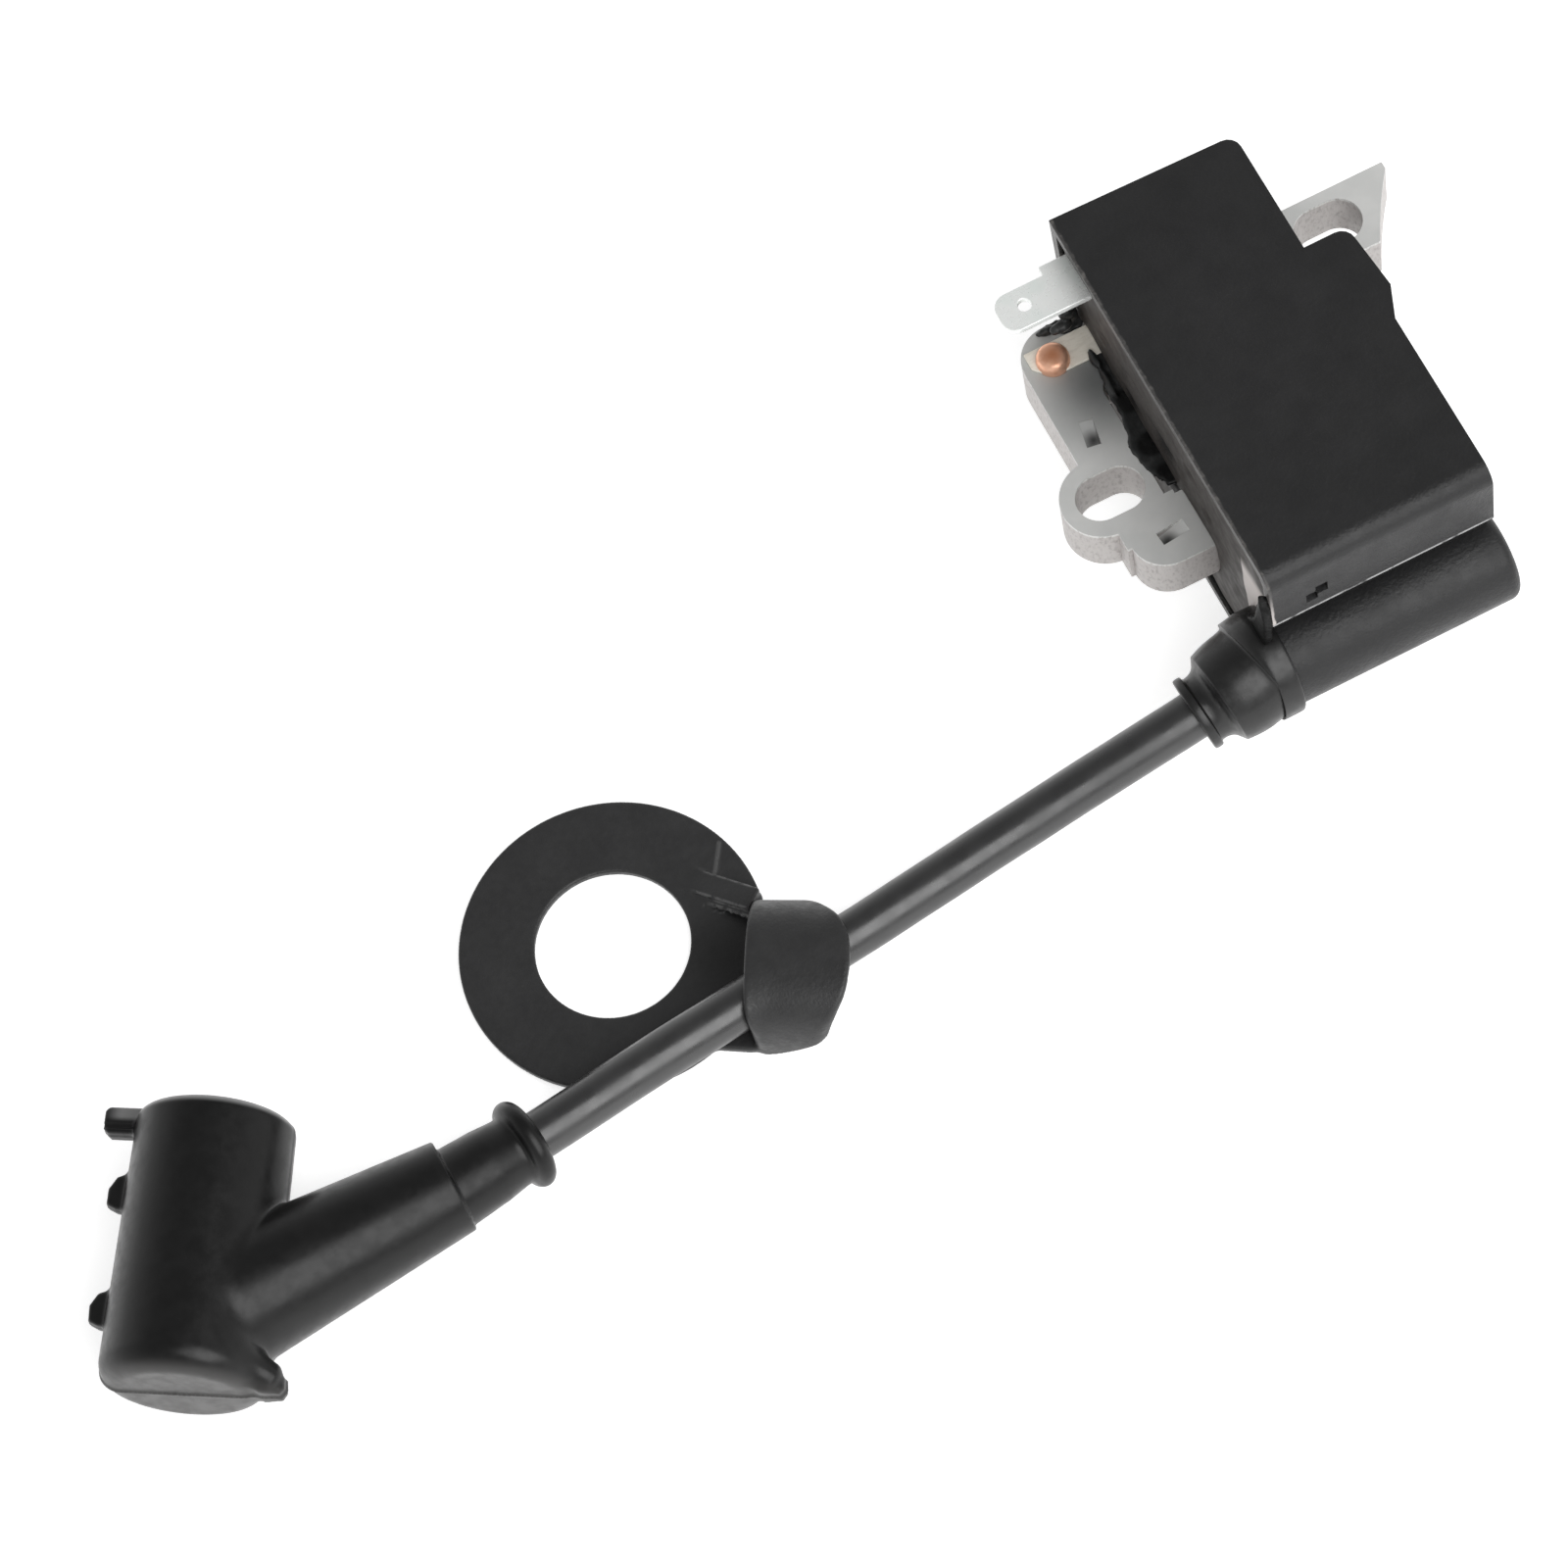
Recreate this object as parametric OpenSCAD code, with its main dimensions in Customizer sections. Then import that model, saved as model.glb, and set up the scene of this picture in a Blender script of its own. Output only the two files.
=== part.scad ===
// Flywheel ignition coil of a small two-stroke engine.
// A potted coil cup sits on a U-shaped stack of laminations. The high-voltage lead leaves the cup's
// tower through a rubber grommet, passes under the strap of a guide ring and ends in an elbow plug boot.
// Millimetres. +X runs along the lead tower away from the lead, +Y towards the cup's narrow end, +Z up.
// The origin is on the table, under the middle of the coil unit.

/* [Potting cup] */
// Length of the cup, from its narrow end to the tower side
cup_l = 49.3; // [48.5:0.1:50]
// Depth of the cup at its narrow end, from mouth to back wall
narrow_w = 21.8; // [21.6:0.1:22.4]
// Depth of the cup at its wide part
wide_w = 26.1; // [25.9:0.1:26.6]
// Height of the cup's flat top above the table
cup_h = 31.5; // [31:0.1:33]
// Thickness of the cup's walls
wall = 1.4; // [1.2:0.1:1.5]
// Height of the lower edge of the overhanging upper wall
ledge_z = 21.8; // [20:0.1:23]

/* [Lead tower] */
// Distance of the tower's axis from the cup's narrow end
tower_from_end = 48.3; // [48:0.1:48.6]
// Height of the tower's axis above the table
tower_z = 12; // [11.6:0.1:12.4]
// Outer radius of the tower
tower_r = 5.5; // [5.3:0.1:5.6]
// Where the tower's closed end is, measured from the cup's mouth
tower_end = 27.2; // [26.8:0.1:28]

/* [Lamination stack] */
// Height of the stack's underside above the table
core_z = 7.2; // [7:0.1:7.4]
// Thickness of the stack
core_t = 6.5; // [6.4:0.1:6.6]
// Reach of the upper pole tip from the cup's mouth
pole_reach = 38.2; // [38:0.1:38.4]
// Reach of the mounting lug in front of the cup's mouth
lug_reach = 11.6; // [11.4:0.1:11.8]
// Width of the mounting slots, for M5 screws
slot_w = 5.5; // [5.3:0.1:5.6]
// Length of the mounting slots
slot_l = 7.8; // [7.4:0.1:8]
// Radius of the flywheel that the poles face, with the air gap
flywheel_r = 48.2; // [48:0.1:48.4]

/* [Lead] */
// Radius of the lead's insulation
lead_r = 2.65; // [2.5:0.01:2.65]
// Radius of the lead's stranded conductor
conductor_r = 0.9; // [0.7:0.05:0.9]

/* [Grommet] */
// Radius of the grommet's collar
collar_r = 6.2; // [6.1:0.05:6.3]
// How far the collar reaches back over the tower
collar_back = 1; // [0.8:0.1:1.2]

/* [Guide ring] */
// Outer radius of the guide ring
ring_r = 16.6; // [16.4:0.1:16.8]
// Radius of the ring's hole
ring_hole_r = 8.4; // [8.2:0.1:8.6]
// Thickness of the ring
ring_t = 1; // [0.9:0.1:1.2]
// Outer half-width of the strap that bridges the lead
strap_r = 8; // [7.9:0.1:8.2]
// Height of the strap's crown
strap_h = 8.6; // [8.5:0.1:8.8]
// Thickness of the strap
strap_t = 1; // [0.9:0.1:1.1]

/* [Plug boot] */
// Outer radius of the boot's barrel, at its closed end
barrel_r = 8.9; // [8.8:0.05:9]
// Length of the barrel
barrel_l = 30; // [29.8:0.1:30.2]
// Radius of the barrel's bore, which grips the spark plug's insulator
plug_bore_r = 5.4; // [5.2:0.1:5.5]
// Depth of the bore that grips the insulator
plug_bore_l = 11; // [10:0.1:11.2]
// Depth of the narrower chamber behind it, which holds the contact spring
chamber_l = 25; // [24.5:0.1:26]

/* [Hidden] */

$fn = 48;
eps = 0.01;

// The origin is the middle of the coil unit's outline, so both offsets come from its reach each way
mouth_x = -(pole_reach - lug_reach) / 2;
end_y = (tower_from_end + collar_r) / 2;
tower_y = end_y - tower_from_end;
core_top = core_z + core_t;

// Plan positions below are measured from the mouth end of the cup's narrow end: X into the cup, Y back
step_y = 16.2;
// How far the mouth's plane leans back at the table
mouth_lean = 0.7;
lower_wall_y = 47.6;
upper_leg_y = [-10.45, -1.85];
lower_leg_y = [-34.1, -26.6];
leg_mid_y = (lower_leg_y[0] + lower_leg_y[1]) / 2;
leg_mid_z = core_z + core_t / 2;
leg_w = lower_leg_y[1] - lower_leg_y[0];
base_x = [-7.45, -1.05];
left_slot = [-6, -23.25];
right_slot = [29.45, -5.95];
lug_r = 4.7;
lug_centre = [lug_r - lug_reach, -23.3];
flywheel_centre = [76.6, -31.9];
rivet_at = [-4.1, -6.2];
rivet_r = 1.85;
strap_metal_t = 0.4;
terminal_z = 27;
terminal_t = 0.8;

// Transformer on the lower leg: bobbins and windings are rectangular sleeves round the leg
coil_gap = 0.1;
primary_tube = 0.7;
primary_build = 1.2;
secondary_tube = 0.6;
secondary_build = 2;
flange_t = 0.7;
transformer_x = [2.2, 17.4];
charge_x = [18.2, 24.4];
charge_build = 2.2;
secondary_sections = 4;
leg_size = [leg_w, core_t];
bobbin_bore = grow(leg_size, coil_gap);
primary_seat = grow(bobbin_bore, primary_tube);
primary_outer = grow(primary_seat, primary_build);
secondary_bore = grow(primary_outer, 2 * coil_gap);
secondary_seat = grow(secondary_bore, secondary_tube);
secondary_outer = grow(secondary_seat, secondary_build);

// Circuit board and the parts on it
board_z = 20.2;
board_t = 1.2;
board_x = [2.5, 19.5];
board_y = [-44, -3.5];

// Contact pin in the tower
pin_r = 0.6;
pin_x = 11;
lead_start_x = 8;

// Route of the lead's centre line, in the part's frame, from the tower to inside the plug boot
LEAD_ROUTE = [
    [-5, -21.05, 12], [-10, -21.05, 12], [-14, -21.1, 12], [-18, -21.65, 11.4],
    [-23, -22.1, 10.6], [-28, -22.25, 9.6], [-33, -22.35, 8.5], [-38, -22.5, 7.5],
    [-43, -22.75, 6.6], [-48, -23, 5.8], [-53, -23.35, 5.1], [-58, -23.75, 4.6],
    [-63, -24.3, 4.4], [-68, -24.8, 4.3], [-73, -25.35, 4.3], [-78, -25.9, 4.3],
    [-83, -26.5, 4.4], [-88, -27.15, 4.7], [-93, -27.95, 5.2], [-98, -28.9, 5.9],
    [-103, -29.85, 6.7], [-108, -30.75, 7.55], [-113, -31.65, 8.4], [-118, -32.55, 9.25],
    [-123, -33.45, 10.1]];
lead_sides = 12;

// The grommet's ridge sits this far in front of the cup's mouth, and its outer part leans with the lead
ridge_reach = 1.5;
neck_from = [-18, -21.6, 11.4];
neck_to = [-23, -22.1, 10.6];

// Guide ring: its own frame has X along the strap's tunnel
ring_at = [-87.9, -11.65];
ring_turn = -29;
strap_from = 15.3;
strap_y = -3.4;
strap_end_centre = [17.6, -3.6];
strap_end_r = 8.6;
arm_w = 2.4;
arm_h = 2.6;
rib_from = [7.4, 7.5];
rib_turn = -20;
rib_l = 9;
lead_notch_r = 3.1;

// Plug boot: the barrel lies on the table, with its mouth towards mouth_angle
boot_z = barrel_r;
mouth_at = [-133.4, -13.2, boot_z];
mouth_angle = 59;
mouth_r = barrel_r - 0.55;
sleeve_step = [-114.4, -31.75, boot_z];
sleeve_root = [-141, -32.3, boot_z];
sleeve_root_r = 7.35;
sleeve_step_r = 4.85;
cuff_from = LEAD_ROUTE[len(LEAD_ROUTE) - 1];
cuff_to = LEAD_ROUTE[len(LEAD_ROUTE) - 5];
cuff_root_r = 4.85;
cuff_end_r = 4;
bead_x = -106;
bead_r = 1.05;
bead_ring_r = 3.85;
tab_t = 2;
running_fit = 0.05;

// Contact spring
wire_r = 0.45;
spring_r = 3.9;
spring_from = 12;
spring_pitch = 2.2;
spring_turns = 4;
chamber_r = 4.8;
tail_way_r = 0.9;

// ---------------------------------------------------------------- helpers

function grow(size, by) = [size[0] + 2 * by, size[1] + 2 * by];

function unit(v) = v / norm(v);

// Points of an arc about a centre
function arc(centre, r, from, to, steps = 8) =
    [for (i = [0:steps]) let (a = from + (to - from) * i / steps) centre + r * [cos(a), sin(a)]];

// Rectangle with rounded corners, about the origin
function rounded_rect(size, r) =
    let (x = size[0] / 2 - r, y = size[1] / 2 - r)
    concat(arc([x, y], r, 0, 90), arc([-x, y], r, 90, 180),
        arc([-x, -y], r, 180, 270), arc([x, -y], r, 270, 360));

// One ring of the swept tube, square to the route at point i; `ref` is never along the route
function tube_ring(route, i, r, sides, ref = [0, 0, 1]) =
    let (n = len(route),
        along = unit(route[min(i + 1, n - 1)] - route[max(i - 1, 0)]),
        side = unit(cross(ref, along)),
        up = cross(along, side))
    [for (k = [0:sides - 1]) let (a = 360 * k / sides) route[i] + r * (cos(a) * side + sin(a) * up)];

// Places plan shapes that are measured from the cup's narrow end
module at_cup(z = 0) {
    translate([mouth_x, end_y, z]) children();
}

// A solid tube along a route
module swept_tube(route, r, sides, ref = [0, 0, 1]) {
    n = len(route);
    points = [for (i = [0:n - 1]) each tube_ring(route, i, r, sides, ref)];
    walls = [for (i = [0:n - 2], k = [0:sides - 1]) let (j = (k + 1) % sides)
        [i * sides + k, i * sides + j, (i + 1) * sides + j, (i + 1) * sides + k]];
    caps = [[for (k = [sides - 1:-1:0]) k], [for (k = [0:sides - 1]) (n - 1) * sides + k]];
    polyhedron(points = points, faces = concat(walls, caps), convexity = 8);
}

// A hollow tube along a route
module swept_sleeve(route, r_out, r_in, sides) {
    n = len(route);
    m = n * sides;
    points = concat([for (i = [0:n - 1]) each tube_ring(route, i, r_out, sides)],
        [for (i = [0:n - 1]) each tube_ring(route, i, r_in, sides)]);
    outside = [for (i = [0:n - 2], k = [0:sides - 1]) let (j = (k + 1) % sides)
        [i * sides + k, i * sides + j, (i + 1) * sides + j, (i + 1) * sides + k]];
    inside = [for (i = [0:n - 2], k = [0:sides - 1]) let (j = (k + 1) % sides)
        [m + i * sides + j, m + i * sides + k, m + (i + 1) * sides + k, m + (i + 1) * sides + j]];
    first = [for (k = [0:sides - 1]) let (j = (k + 1) % sides) [k, m + k, m + j, j]];
    last = [for (k = [0:sides - 1]) let (j = (k + 1) % sides, e = (n - 1) * sides)
        [e + j, m + e + j, m + e + k, e + k]];
    polyhedron(points = points, faces = concat(outside, inside, first, last), convexity = 8);
}

// Turns a child that is drawn along +Z so that it runs from one point towards another
module aim(from, to) {
    d = to - from;
    translate(from)
        rotate([0, acos(d[2] / norm(d)), atan2(d[1], d[0])])
            children();
}

// ---------------------------------------------------------------- potting cup

// Plan outline of the cup, drawn in by `inset` on every side but the mouth
module cup_plan(inset, y_back) {
    r = 1.6 - inset / 2;
    polygon(concat(
        [[-eps * sign(inset), -y_back + inset], [-eps * sign(inset), -inset]],
        arc([narrow_w - inset - r, -inset - r - 0.5], r, 90, 0, 4),
        [[narrow_w - inset, -step_y - inset + 0.4 * sign(inset)]],
        arc([wide_w + 0.9 - inset - r, -step_y - inset - r], r, 90, 0, 4),
        [[wide_w + 1.5 - inset, -24.5], [wide_w - inset, -28.3], [wide_w - inset, -y_back + inset]]));
}

// Section across the cup: the upper wall overhangs the tower side and its top edge is rounded
module cup_section(inset) {
    r = 2.2 - inset / 2;
    polygon(concat(
        [[inset, inset], [inset, cup_h - inset]],
        arc([cup_l - inset - r, cup_h - inset - r], r, 90, 0),
        [[cup_l - inset, ledge_z + inset], [lower_wall_y - inset, ledge_z + inset],
            [lower_wall_y - inset, inset]]));
}

module cup_block(inset) {
    difference() {
        intersection() {
            translate([0, 0, inset])
                linear_extrude(height = cup_h - 2 * inset)
                    cup_plan(inset, cup_l);
            translate([-1, 0, 0])
                rotate([90, 0, 90])
                    linear_extrude(height = wide_w + 4)
                        mirror([1, 0])
                            cup_section(inset);
        }
        // The mouth's plane leans back towards the table
        translate([0, 1, 0])
            rotate([90, 0, 0])
                linear_extrude(height = cup_l + 2)
                    polygon([[-2, -1], [mouth_lean, -1], [mouth_lean, 0], [0, cup_h], [-2, cup_h]]);
    }
}

module tower_shape() {
    r = 1.2;
    rotate([0, 90, 0])
        rotate_extrude()
            polygon(concat([[0, 0], [tower_r, 0]],
                arc([tower_r - r, tower_end - r], r, 0, 90, 6), [[0, tower_end]]));
}

// Room round the tower's mouth for the grommet's collar
module grommet_seat() {
    translate([-2, -tower_from_end, tower_z])
        rotate([0, 90, 0])
            difference() {
                cylinder(r = collar_r, h = 2 + collar_back);
                translate([0, 0, 2])
                    cylinder(r = tower_r, h = collar_back + 1);
            }
}

module leg_bar(leg_y, x0, x1) {
    translate([x0, leg_y[0], core_z])
        cube([x1 - x0, leg_y[1] - leg_y[0], core_t]);
}

module housing() {
    color("#26272a")
        at_cup()
            difference() {
                union() {
                    cup_block(0);
                    translate([0, -tower_from_end, tower_z])
                        tower_shape();
                }
                difference() {
                    cup_block(wall);
                    // Keeps the tower's wall whole where it bulges into the cup
                    translate([-1, -tower_from_end, tower_z])
                        rotate([0, 90, 0])
                            cylinder(r = lead_r + wall, h = wide_w + 4);
                }
                // Openings for the two legs of the lamination stack
                leg_bar(upper_leg_y, 15, wide_w + 4);
                leg_bar(lower_leg_y, 20, wide_w + 4);
                // Seat of the lead, and the way in for the contact pin
                translate([-1, -tower_from_end, tower_z])
                    rotate([0, 90, 0])
                        cylinder(r = lead_r, h = pin_x + 1 + pin_r);
                translate([pin_x, -tower_from_end, tower_z])
                    rotate([-90, 0, 0])
                        cylinder(r = pin_r, h = 10);
                grommet_seat();
                // Small stepped latch recess in the tower side's upper wall
                translate([4.2, -cup_l - 1, 23.5])
                    cube([1.3, 1.7, 1.7]);
                translate([5.3, -cup_l - 1, 24.4])
                    cube([1.4, 1.7, 1.7]);
            }
}

// The space that the wound parts, the board and its components take out of the resin
module electronics_space() {
    // Round the transformer and the charge coil, open at the back wall
    translate([transformer_x[0] - 0.3, leg_mid_y - secondary_outer[0] / 2 - 0.2,
            leg_mid_z - secondary_outer[1] / 2 - 0.2])
        cube([wide_w, secondary_outer[0] + 0.4, secondary_outer[1] + 0.4]);
    // Round the board and what stands on it
    translate([board_x[0] - 0.2, board_y[0] - 0.2, board_z - 1.2])
        cube([wide_w, board_y[1] - board_y[0] + 0.4, 8]);
    // Round the storage capacitor, between the legs
    translate([3.8, -20.4, 5.8])
        cube([wide_w, 9.4, 15]);
    // Past the wound leg to the contact pin
    translate([pin_x - 1, -tower_from_end, tower_z - 1])
        cube([2, 12, 2]);
}

module potting_resin() {
    color("#1a1512")
        at_cup()
            difference() {
                translate([0.3, 0, 0])
                    cup_block(wall);
                translate([-1, -tower_from_end, tower_z])
                    rotate([0, 90, 0])
                        cylinder(r = lead_r + wall, h = wide_w + 4);
                difference() {
                    cup_block(0);
                    cup_block(wall);
                }
                electronics_space();
                grommet_seat();
                leg_bar(upper_leg_y, -1, wide_w + 4);
                leg_bar(lower_leg_y, -1, wide_w + 4);
                // Terminal, its root, and the ground strap's tail
                terminal_shape();
                ground_strap_shape();
            }
}

// ---------------------------------------------------------------- lamination stack and hardware

module slot_shape() {
    run = (slot_l - slot_w) / 2;
    for (side = [-run, run])
        translate([side, 0])
            circle(d = slot_w);
    square([2 * run, slot_w], center = true);
}

module core_plan() {
    end_r = 4.15;
    toe_r = 3.95;
    difference() {
        union() {
            // Base piece that joins the legs in front of the cup
            translate([base_x[0], -30.2])
                square([base_x[1] - base_x[0], 24]);
            translate([base_x[0] + end_r, upper_leg_y[1] - end_r])
                circle(r = end_r);
            translate([-3, lower_leg_y[0] + toe_r])
                circle(r = toe_r);
            translate([-3, lower_leg_y[0]])
                square([3, 8]);
            translate(lug_centre)
                circle(r = lug_r);
            // Upper leg with its pole plate, and lower leg
            translate([base_x[0] + end_r, upper_leg_y[0]])
                square([pole_reach - base_x[0] - end_r, upper_leg_y[1] - upper_leg_y[0]]);
            translate([-3, lower_leg_y[0]])
                square([33, leg_w]);
            // Small fillets where the legs leave the base
            translate([base_x[1] - 1, upper_leg_y[0] - 2])
                square([2, 3]);
        }
        translate([base_x[1] + 2, upper_leg_y[0] - 2])
            circle(r = 2);
        translate(flywheel_centre)
            circle(r = flywheel_r, $fn = 180);
        translate(left_slot)
            slot_shape();
        translate(right_slot)
            slot_shape();
        translate(rivet_at)
            circle(r = rivet_r);
    }
}

// Stamped interlock that locks the sheets together
module interlock(at, turn) {
    translate([at[0], at[1], core_top - 0.5])
        rotate(turn)
            translate([-1.6, -0.8, 0])
                cube([3.2, 1.6, 1]);
}

module core_laminations() {
    color("#b9b7b4")
        at_cup()
            difference() {
                translate([0, 0, core_z])
                    linear_extrude(height = core_t)
                        core_plan();
                interlock([-4.6, -15.8], 80);
                interlock([-2.3, -30.6], 5);
            }
}

module ground_rivet() {
    rise = 1.7;
    top = core_top + rise;
    color("#b4714d")
        at_cup()
            translate([rivet_at[0], rivet_at[1], 0])
                rotate_extrude()
                    polygon([[0, core_z - 0.8], [rivet_r - 0.5, core_z - 0.8], [rivet_r, core_z - 0.3],
                        [rivet_r, top - 0.5], [rivet_r - 0.5, top], [0, top]]);
}

module ground_strap_shape() {
    translate([rivet_at[0], -7.9, core_top])
        cube([6 - rivet_at[0], 3.9, strap_metal_t]);
    translate([rivet_at[0], -5.95, core_top])
        cylinder(r = 1.95, h = strap_metal_t);
    translate([5.6, -7.9, core_top])
        cube([strap_metal_t, 3.9, 4.6]);
}

module ground_strap() {
    color("#cfc6b4")
        at_cup()
            difference() {
                ground_strap_shape();
                translate([rivet_at[0], rivet_at[1], 0])
                    cylinder(r = rivet_r, h = cup_h);
            }
}

module terminal_shape() {
    blade_w = 4.8;
    tip_r = 1.7;
    mid_y = -5.75;
    translate([0, mid_y, terminal_z - terminal_t / 2])
        linear_extrude(height = terminal_t) {
            polygon(concat(
                [[-2.7, blade_w / 2]],
                arc([-9.2 + tip_r, blade_w / 2 - tip_r], tip_r, 90, 180, 5),
                arc([-9.2 + tip_r, tip_r - blade_w / 2], tip_r, 180, 270, 5),
                [[-2.7, -blade_w / 2]]));
            translate([-2.8, -blade_w / 2])
                square([4, blade_w + 1.1]);
            translate([1, -1.8])
                square([3.4, 3.6]);
        }
    translate([4, mid_y - 1.8, board_z + board_t])
        cube([0.8, 3.6, terminal_z - board_z - board_t]);
}

module kill_terminal() {
    color("#d9dadb")
        at_cup()
            difference() {
                terminal_shape();
                translate([-6.1, -5.6, 0])
                    cylinder(r = 0.75, h = cup_h);
            }
}

// ---------------------------------------------------------------- coils on the lower leg

// A rectangular ring round the lower leg, from x0 to x1
module leg_ring(x0, x1, outer, inner, r) {
    translate([x0, leg_mid_y, leg_mid_z])
        rotate([90, 0, 90])
            linear_extrude(height = x1 - x0)
                difference() {
                    polygon(rounded_rect(outer, r));
                    square(inner, center = true);
                }
}

module primary_bobbin() {
    x0 = transformer_x[0];
    x1 = transformer_x[1];
    color("#e6e0cf")
        at_cup() {
            leg_ring(x0, x1, primary_seat, bobbin_bore, 0.3);
            leg_ring(x0, x0 + flange_t, primary_outer, bobbin_bore, 0.8);
            leg_ring(x1 - flange_t, x1, primary_outer, bobbin_bore, 0.8);
        }
}

module primary_winding() {
    color("#a8582c")
        at_cup()
            difference() {
                leg_ring(transformer_x[0] + flange_t, transformer_x[1] - flange_t,
                    grow(primary_outer, -coil_gap), bobbin_bore, 0.8);
                leg_ring(0, wide_w, primary_seat, [1, 1], 0.3);
            }
}

section_l = (transformer_x[1] - transformer_x[0] - flange_t) / secondary_sections;

module secondary_bobbin() {
    color("#d9d2bd")
        at_cup() {
            leg_ring(transformer_x[0], transformer_x[1], secondary_seat, secondary_bore, 0.5);
            for (i = [0:secondary_sections])
                translate([i * section_l, 0, 0])
                    leg_ring(transformer_x[0], transformer_x[0] + flange_t,
                        secondary_outer, secondary_bore, 1);
        }
}

module secondary_winding() {
    color("#8f4522")
        at_cup()
            for (i = [0:secondary_sections - 1])
                translate([i * section_l, 0, 0])
                    difference() {
                        leg_ring(transformer_x[0] + flange_t, transformer_x[0] + section_l,
                            grow(secondary_outer, -0.3), secondary_bore, 1);
                        leg_ring(0, wide_w, secondary_seat, [1, 1], 0.5);
                    }
}

module charge_bobbin() {
    outer = grow(primary_seat, charge_build);
    color("#e6e0cf")
        at_cup() {
            leg_ring(charge_x[0], charge_x[1], primary_seat, bobbin_bore, 0.3);
            leg_ring(charge_x[0], charge_x[0] + flange_t, outer, bobbin_bore, 0.8);
            leg_ring(charge_x[1] - flange_t, charge_x[1], outer, bobbin_bore, 0.8);
        }
}

module charge_winding() {
    outer = grow(primary_seat, charge_build - 0.3);
    color("#a8582c")
        at_cup()
            difference() {
                leg_ring(charge_x[0] + flange_t, charge_x[1] - flange_t, outer, bobbin_bore, 0.8);
                leg_ring(0, wide_w, primary_seat, [1, 1], 0.3);
            }
}

// ---------------------------------------------------------------- circuit board and its parts

board_top = board_z + board_t;

module circuit_board() {
    color("#2f6b45")
        at_cup()
            difference() {
                translate([board_x[0], board_y[0], board_z])
                    cube([board_x[1] - board_x[0], board_y[1] - board_y[0], board_t]);
                // Corner hole for the ground strap's tail
                translate([5.3, -8.1, board_z - 1])
                    cube([1, 4.3, 3]);
            }
}

module storage_capacitor() {
    color("#b58a2e")
        at_cup()
            translate([4, -20.2, 6])
                linear_extrude(height = board_z - 6)
                    translate([7.5, 4.5])
                        polygon(rounded_rect([15, 9], 1));
}

module thyristor() {
    color("#2b2b2e")
        at_cup() {
            translate([11, -12, board_top])
                cube([6.5, 3.5, 1.7]);
            // Tab and legs
            translate([12.7, -8.6, board_top])
                cube([3, 1.8, 0.3]);
            for (i = [0:2])
                translate([11.6 + i * 2.3, -13.7, board_top])
                    cube([0.7, 1.8, 0.3]);
        }
}

module control_chip() {
    color("#232326")
        at_cup() {
            translate([8, -31, board_top + 0.15])
                cube([4, 5, 1.4]);
            for (i = [0:3], side = [0, 1])
                translate([7 + side * 5, -30.6 + i * 1.27, board_top])
                    cube([1.1, 0.4, 0.5]);
        }
}

module rectifier_diodes() {
    color("#3a3330")
        at_cup()
            for (i = [0:2])
                translate([6.5 + i * 4, -37, board_top])
                    cube([2.6, 4.3, 2.1]);
}

module chip_resistors() {
    color("#3c4a52")
        at_cup()
            for (i = [0:4])
                translate([4.5 + i * 2.6, -22, board_top])
                    cube([1.25, 2, 0.6]);
}

// ---------------------------------------------------------------- high-voltage side

module ht_contact_pin() {
    spike = 2.4;
    color("#c9a24a")
        at_cup() {
            translate([pin_x, -tower_from_end, tower_z])
                rotate([-90, 0, 0])
                    cylinder(r = pin_r, h = 8);
            translate([lead_start_x, -tower_from_end, tower_z])
                rotate([0, 90, 0])
                    cylinder(r = pin_r, h = pin_x - lead_start_x + pin_r);
            translate([lead_start_x - spike, -tower_from_end, tower_z])
                rotate([0, 90, 0])
                    cylinder(r1 = 0.1, r2 = pin_r, h = spike);
        }
}

// Rubber grommet: a collar over the tower's mouth, a dome, a waist and an end flange
module tower_grommet() {
    ridge = collar_back + ridge_reach;
    color("#1d1d1f") {
        difference() {
            translate([mouth_x + collar_back, tower_y, tower_z])
                rotate([0, -90, 0])
                    rotate_extrude()
                        polygon([[lead_r, 0], [collar_r - 0.2, 0], [collar_r, 0.2], [collar_r, ridge],
                            [5.9, ridge + 0.1], [5.7, ridge + 1.4], [5.65, ridge + 3],
                            [5.4, ridge + 4.2], [4.4, ridge + 4.6], [lead_r, ridge + 4.6]]);
            translate([mouth_x, tower_y, tower_z])
                rotate([0, 90, 0])
                    cylinder(r = tower_r, h = collar_back + 1);
            // The lead starts to droop inside the dome
            aim(LEAD_ROUTE[2], LEAD_ROUTE[3])
                cylinder(r = lead_r, h = 8);
        }
        // The shoulder, the waist and the flange lean with the lead
        aim(neck_from, neck_to)
            rotate_extrude()
                polygon([[lead_r, 0], [5.3, 0], [5.3, 2.1], [4.9, 2.3], [4, 2.9], [3.8, 3.6],
                    [3.8, 4.3], [4.2, 4.5], [4.25, 5.4], [4.1, 5.6], [lead_r, 5.6]]);
    }
}

module ht_lead() {
    color("#1a1a1c")
        swept_sleeve(LEAD_ROUTE, lead_r, conductor_r, lead_sides);
}

module lead_conductor() {
    color("#b87448")
        difference() {
            swept_tube(LEAD_ROUTE, conductor_r, lead_sides);
            translate([mouth_x + 5.4, tower_y, tower_z])
                rotate([0, 90, 0])
                    cylinder(r = 2, h = 5);
        }
}

// ---------------------------------------------------------------- guide ring

// Half of a squarish oval, standing on the X axis
module arch(half_width, height) {
    squareness = 0.85;
    polygon([for (i = [0:24]) let (a = 180 * i / 24)
        [half_width * sign(cos(a)) * pow(abs(cos(a)), squareness), height * pow(sin(a), squareness)]]);
}

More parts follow.
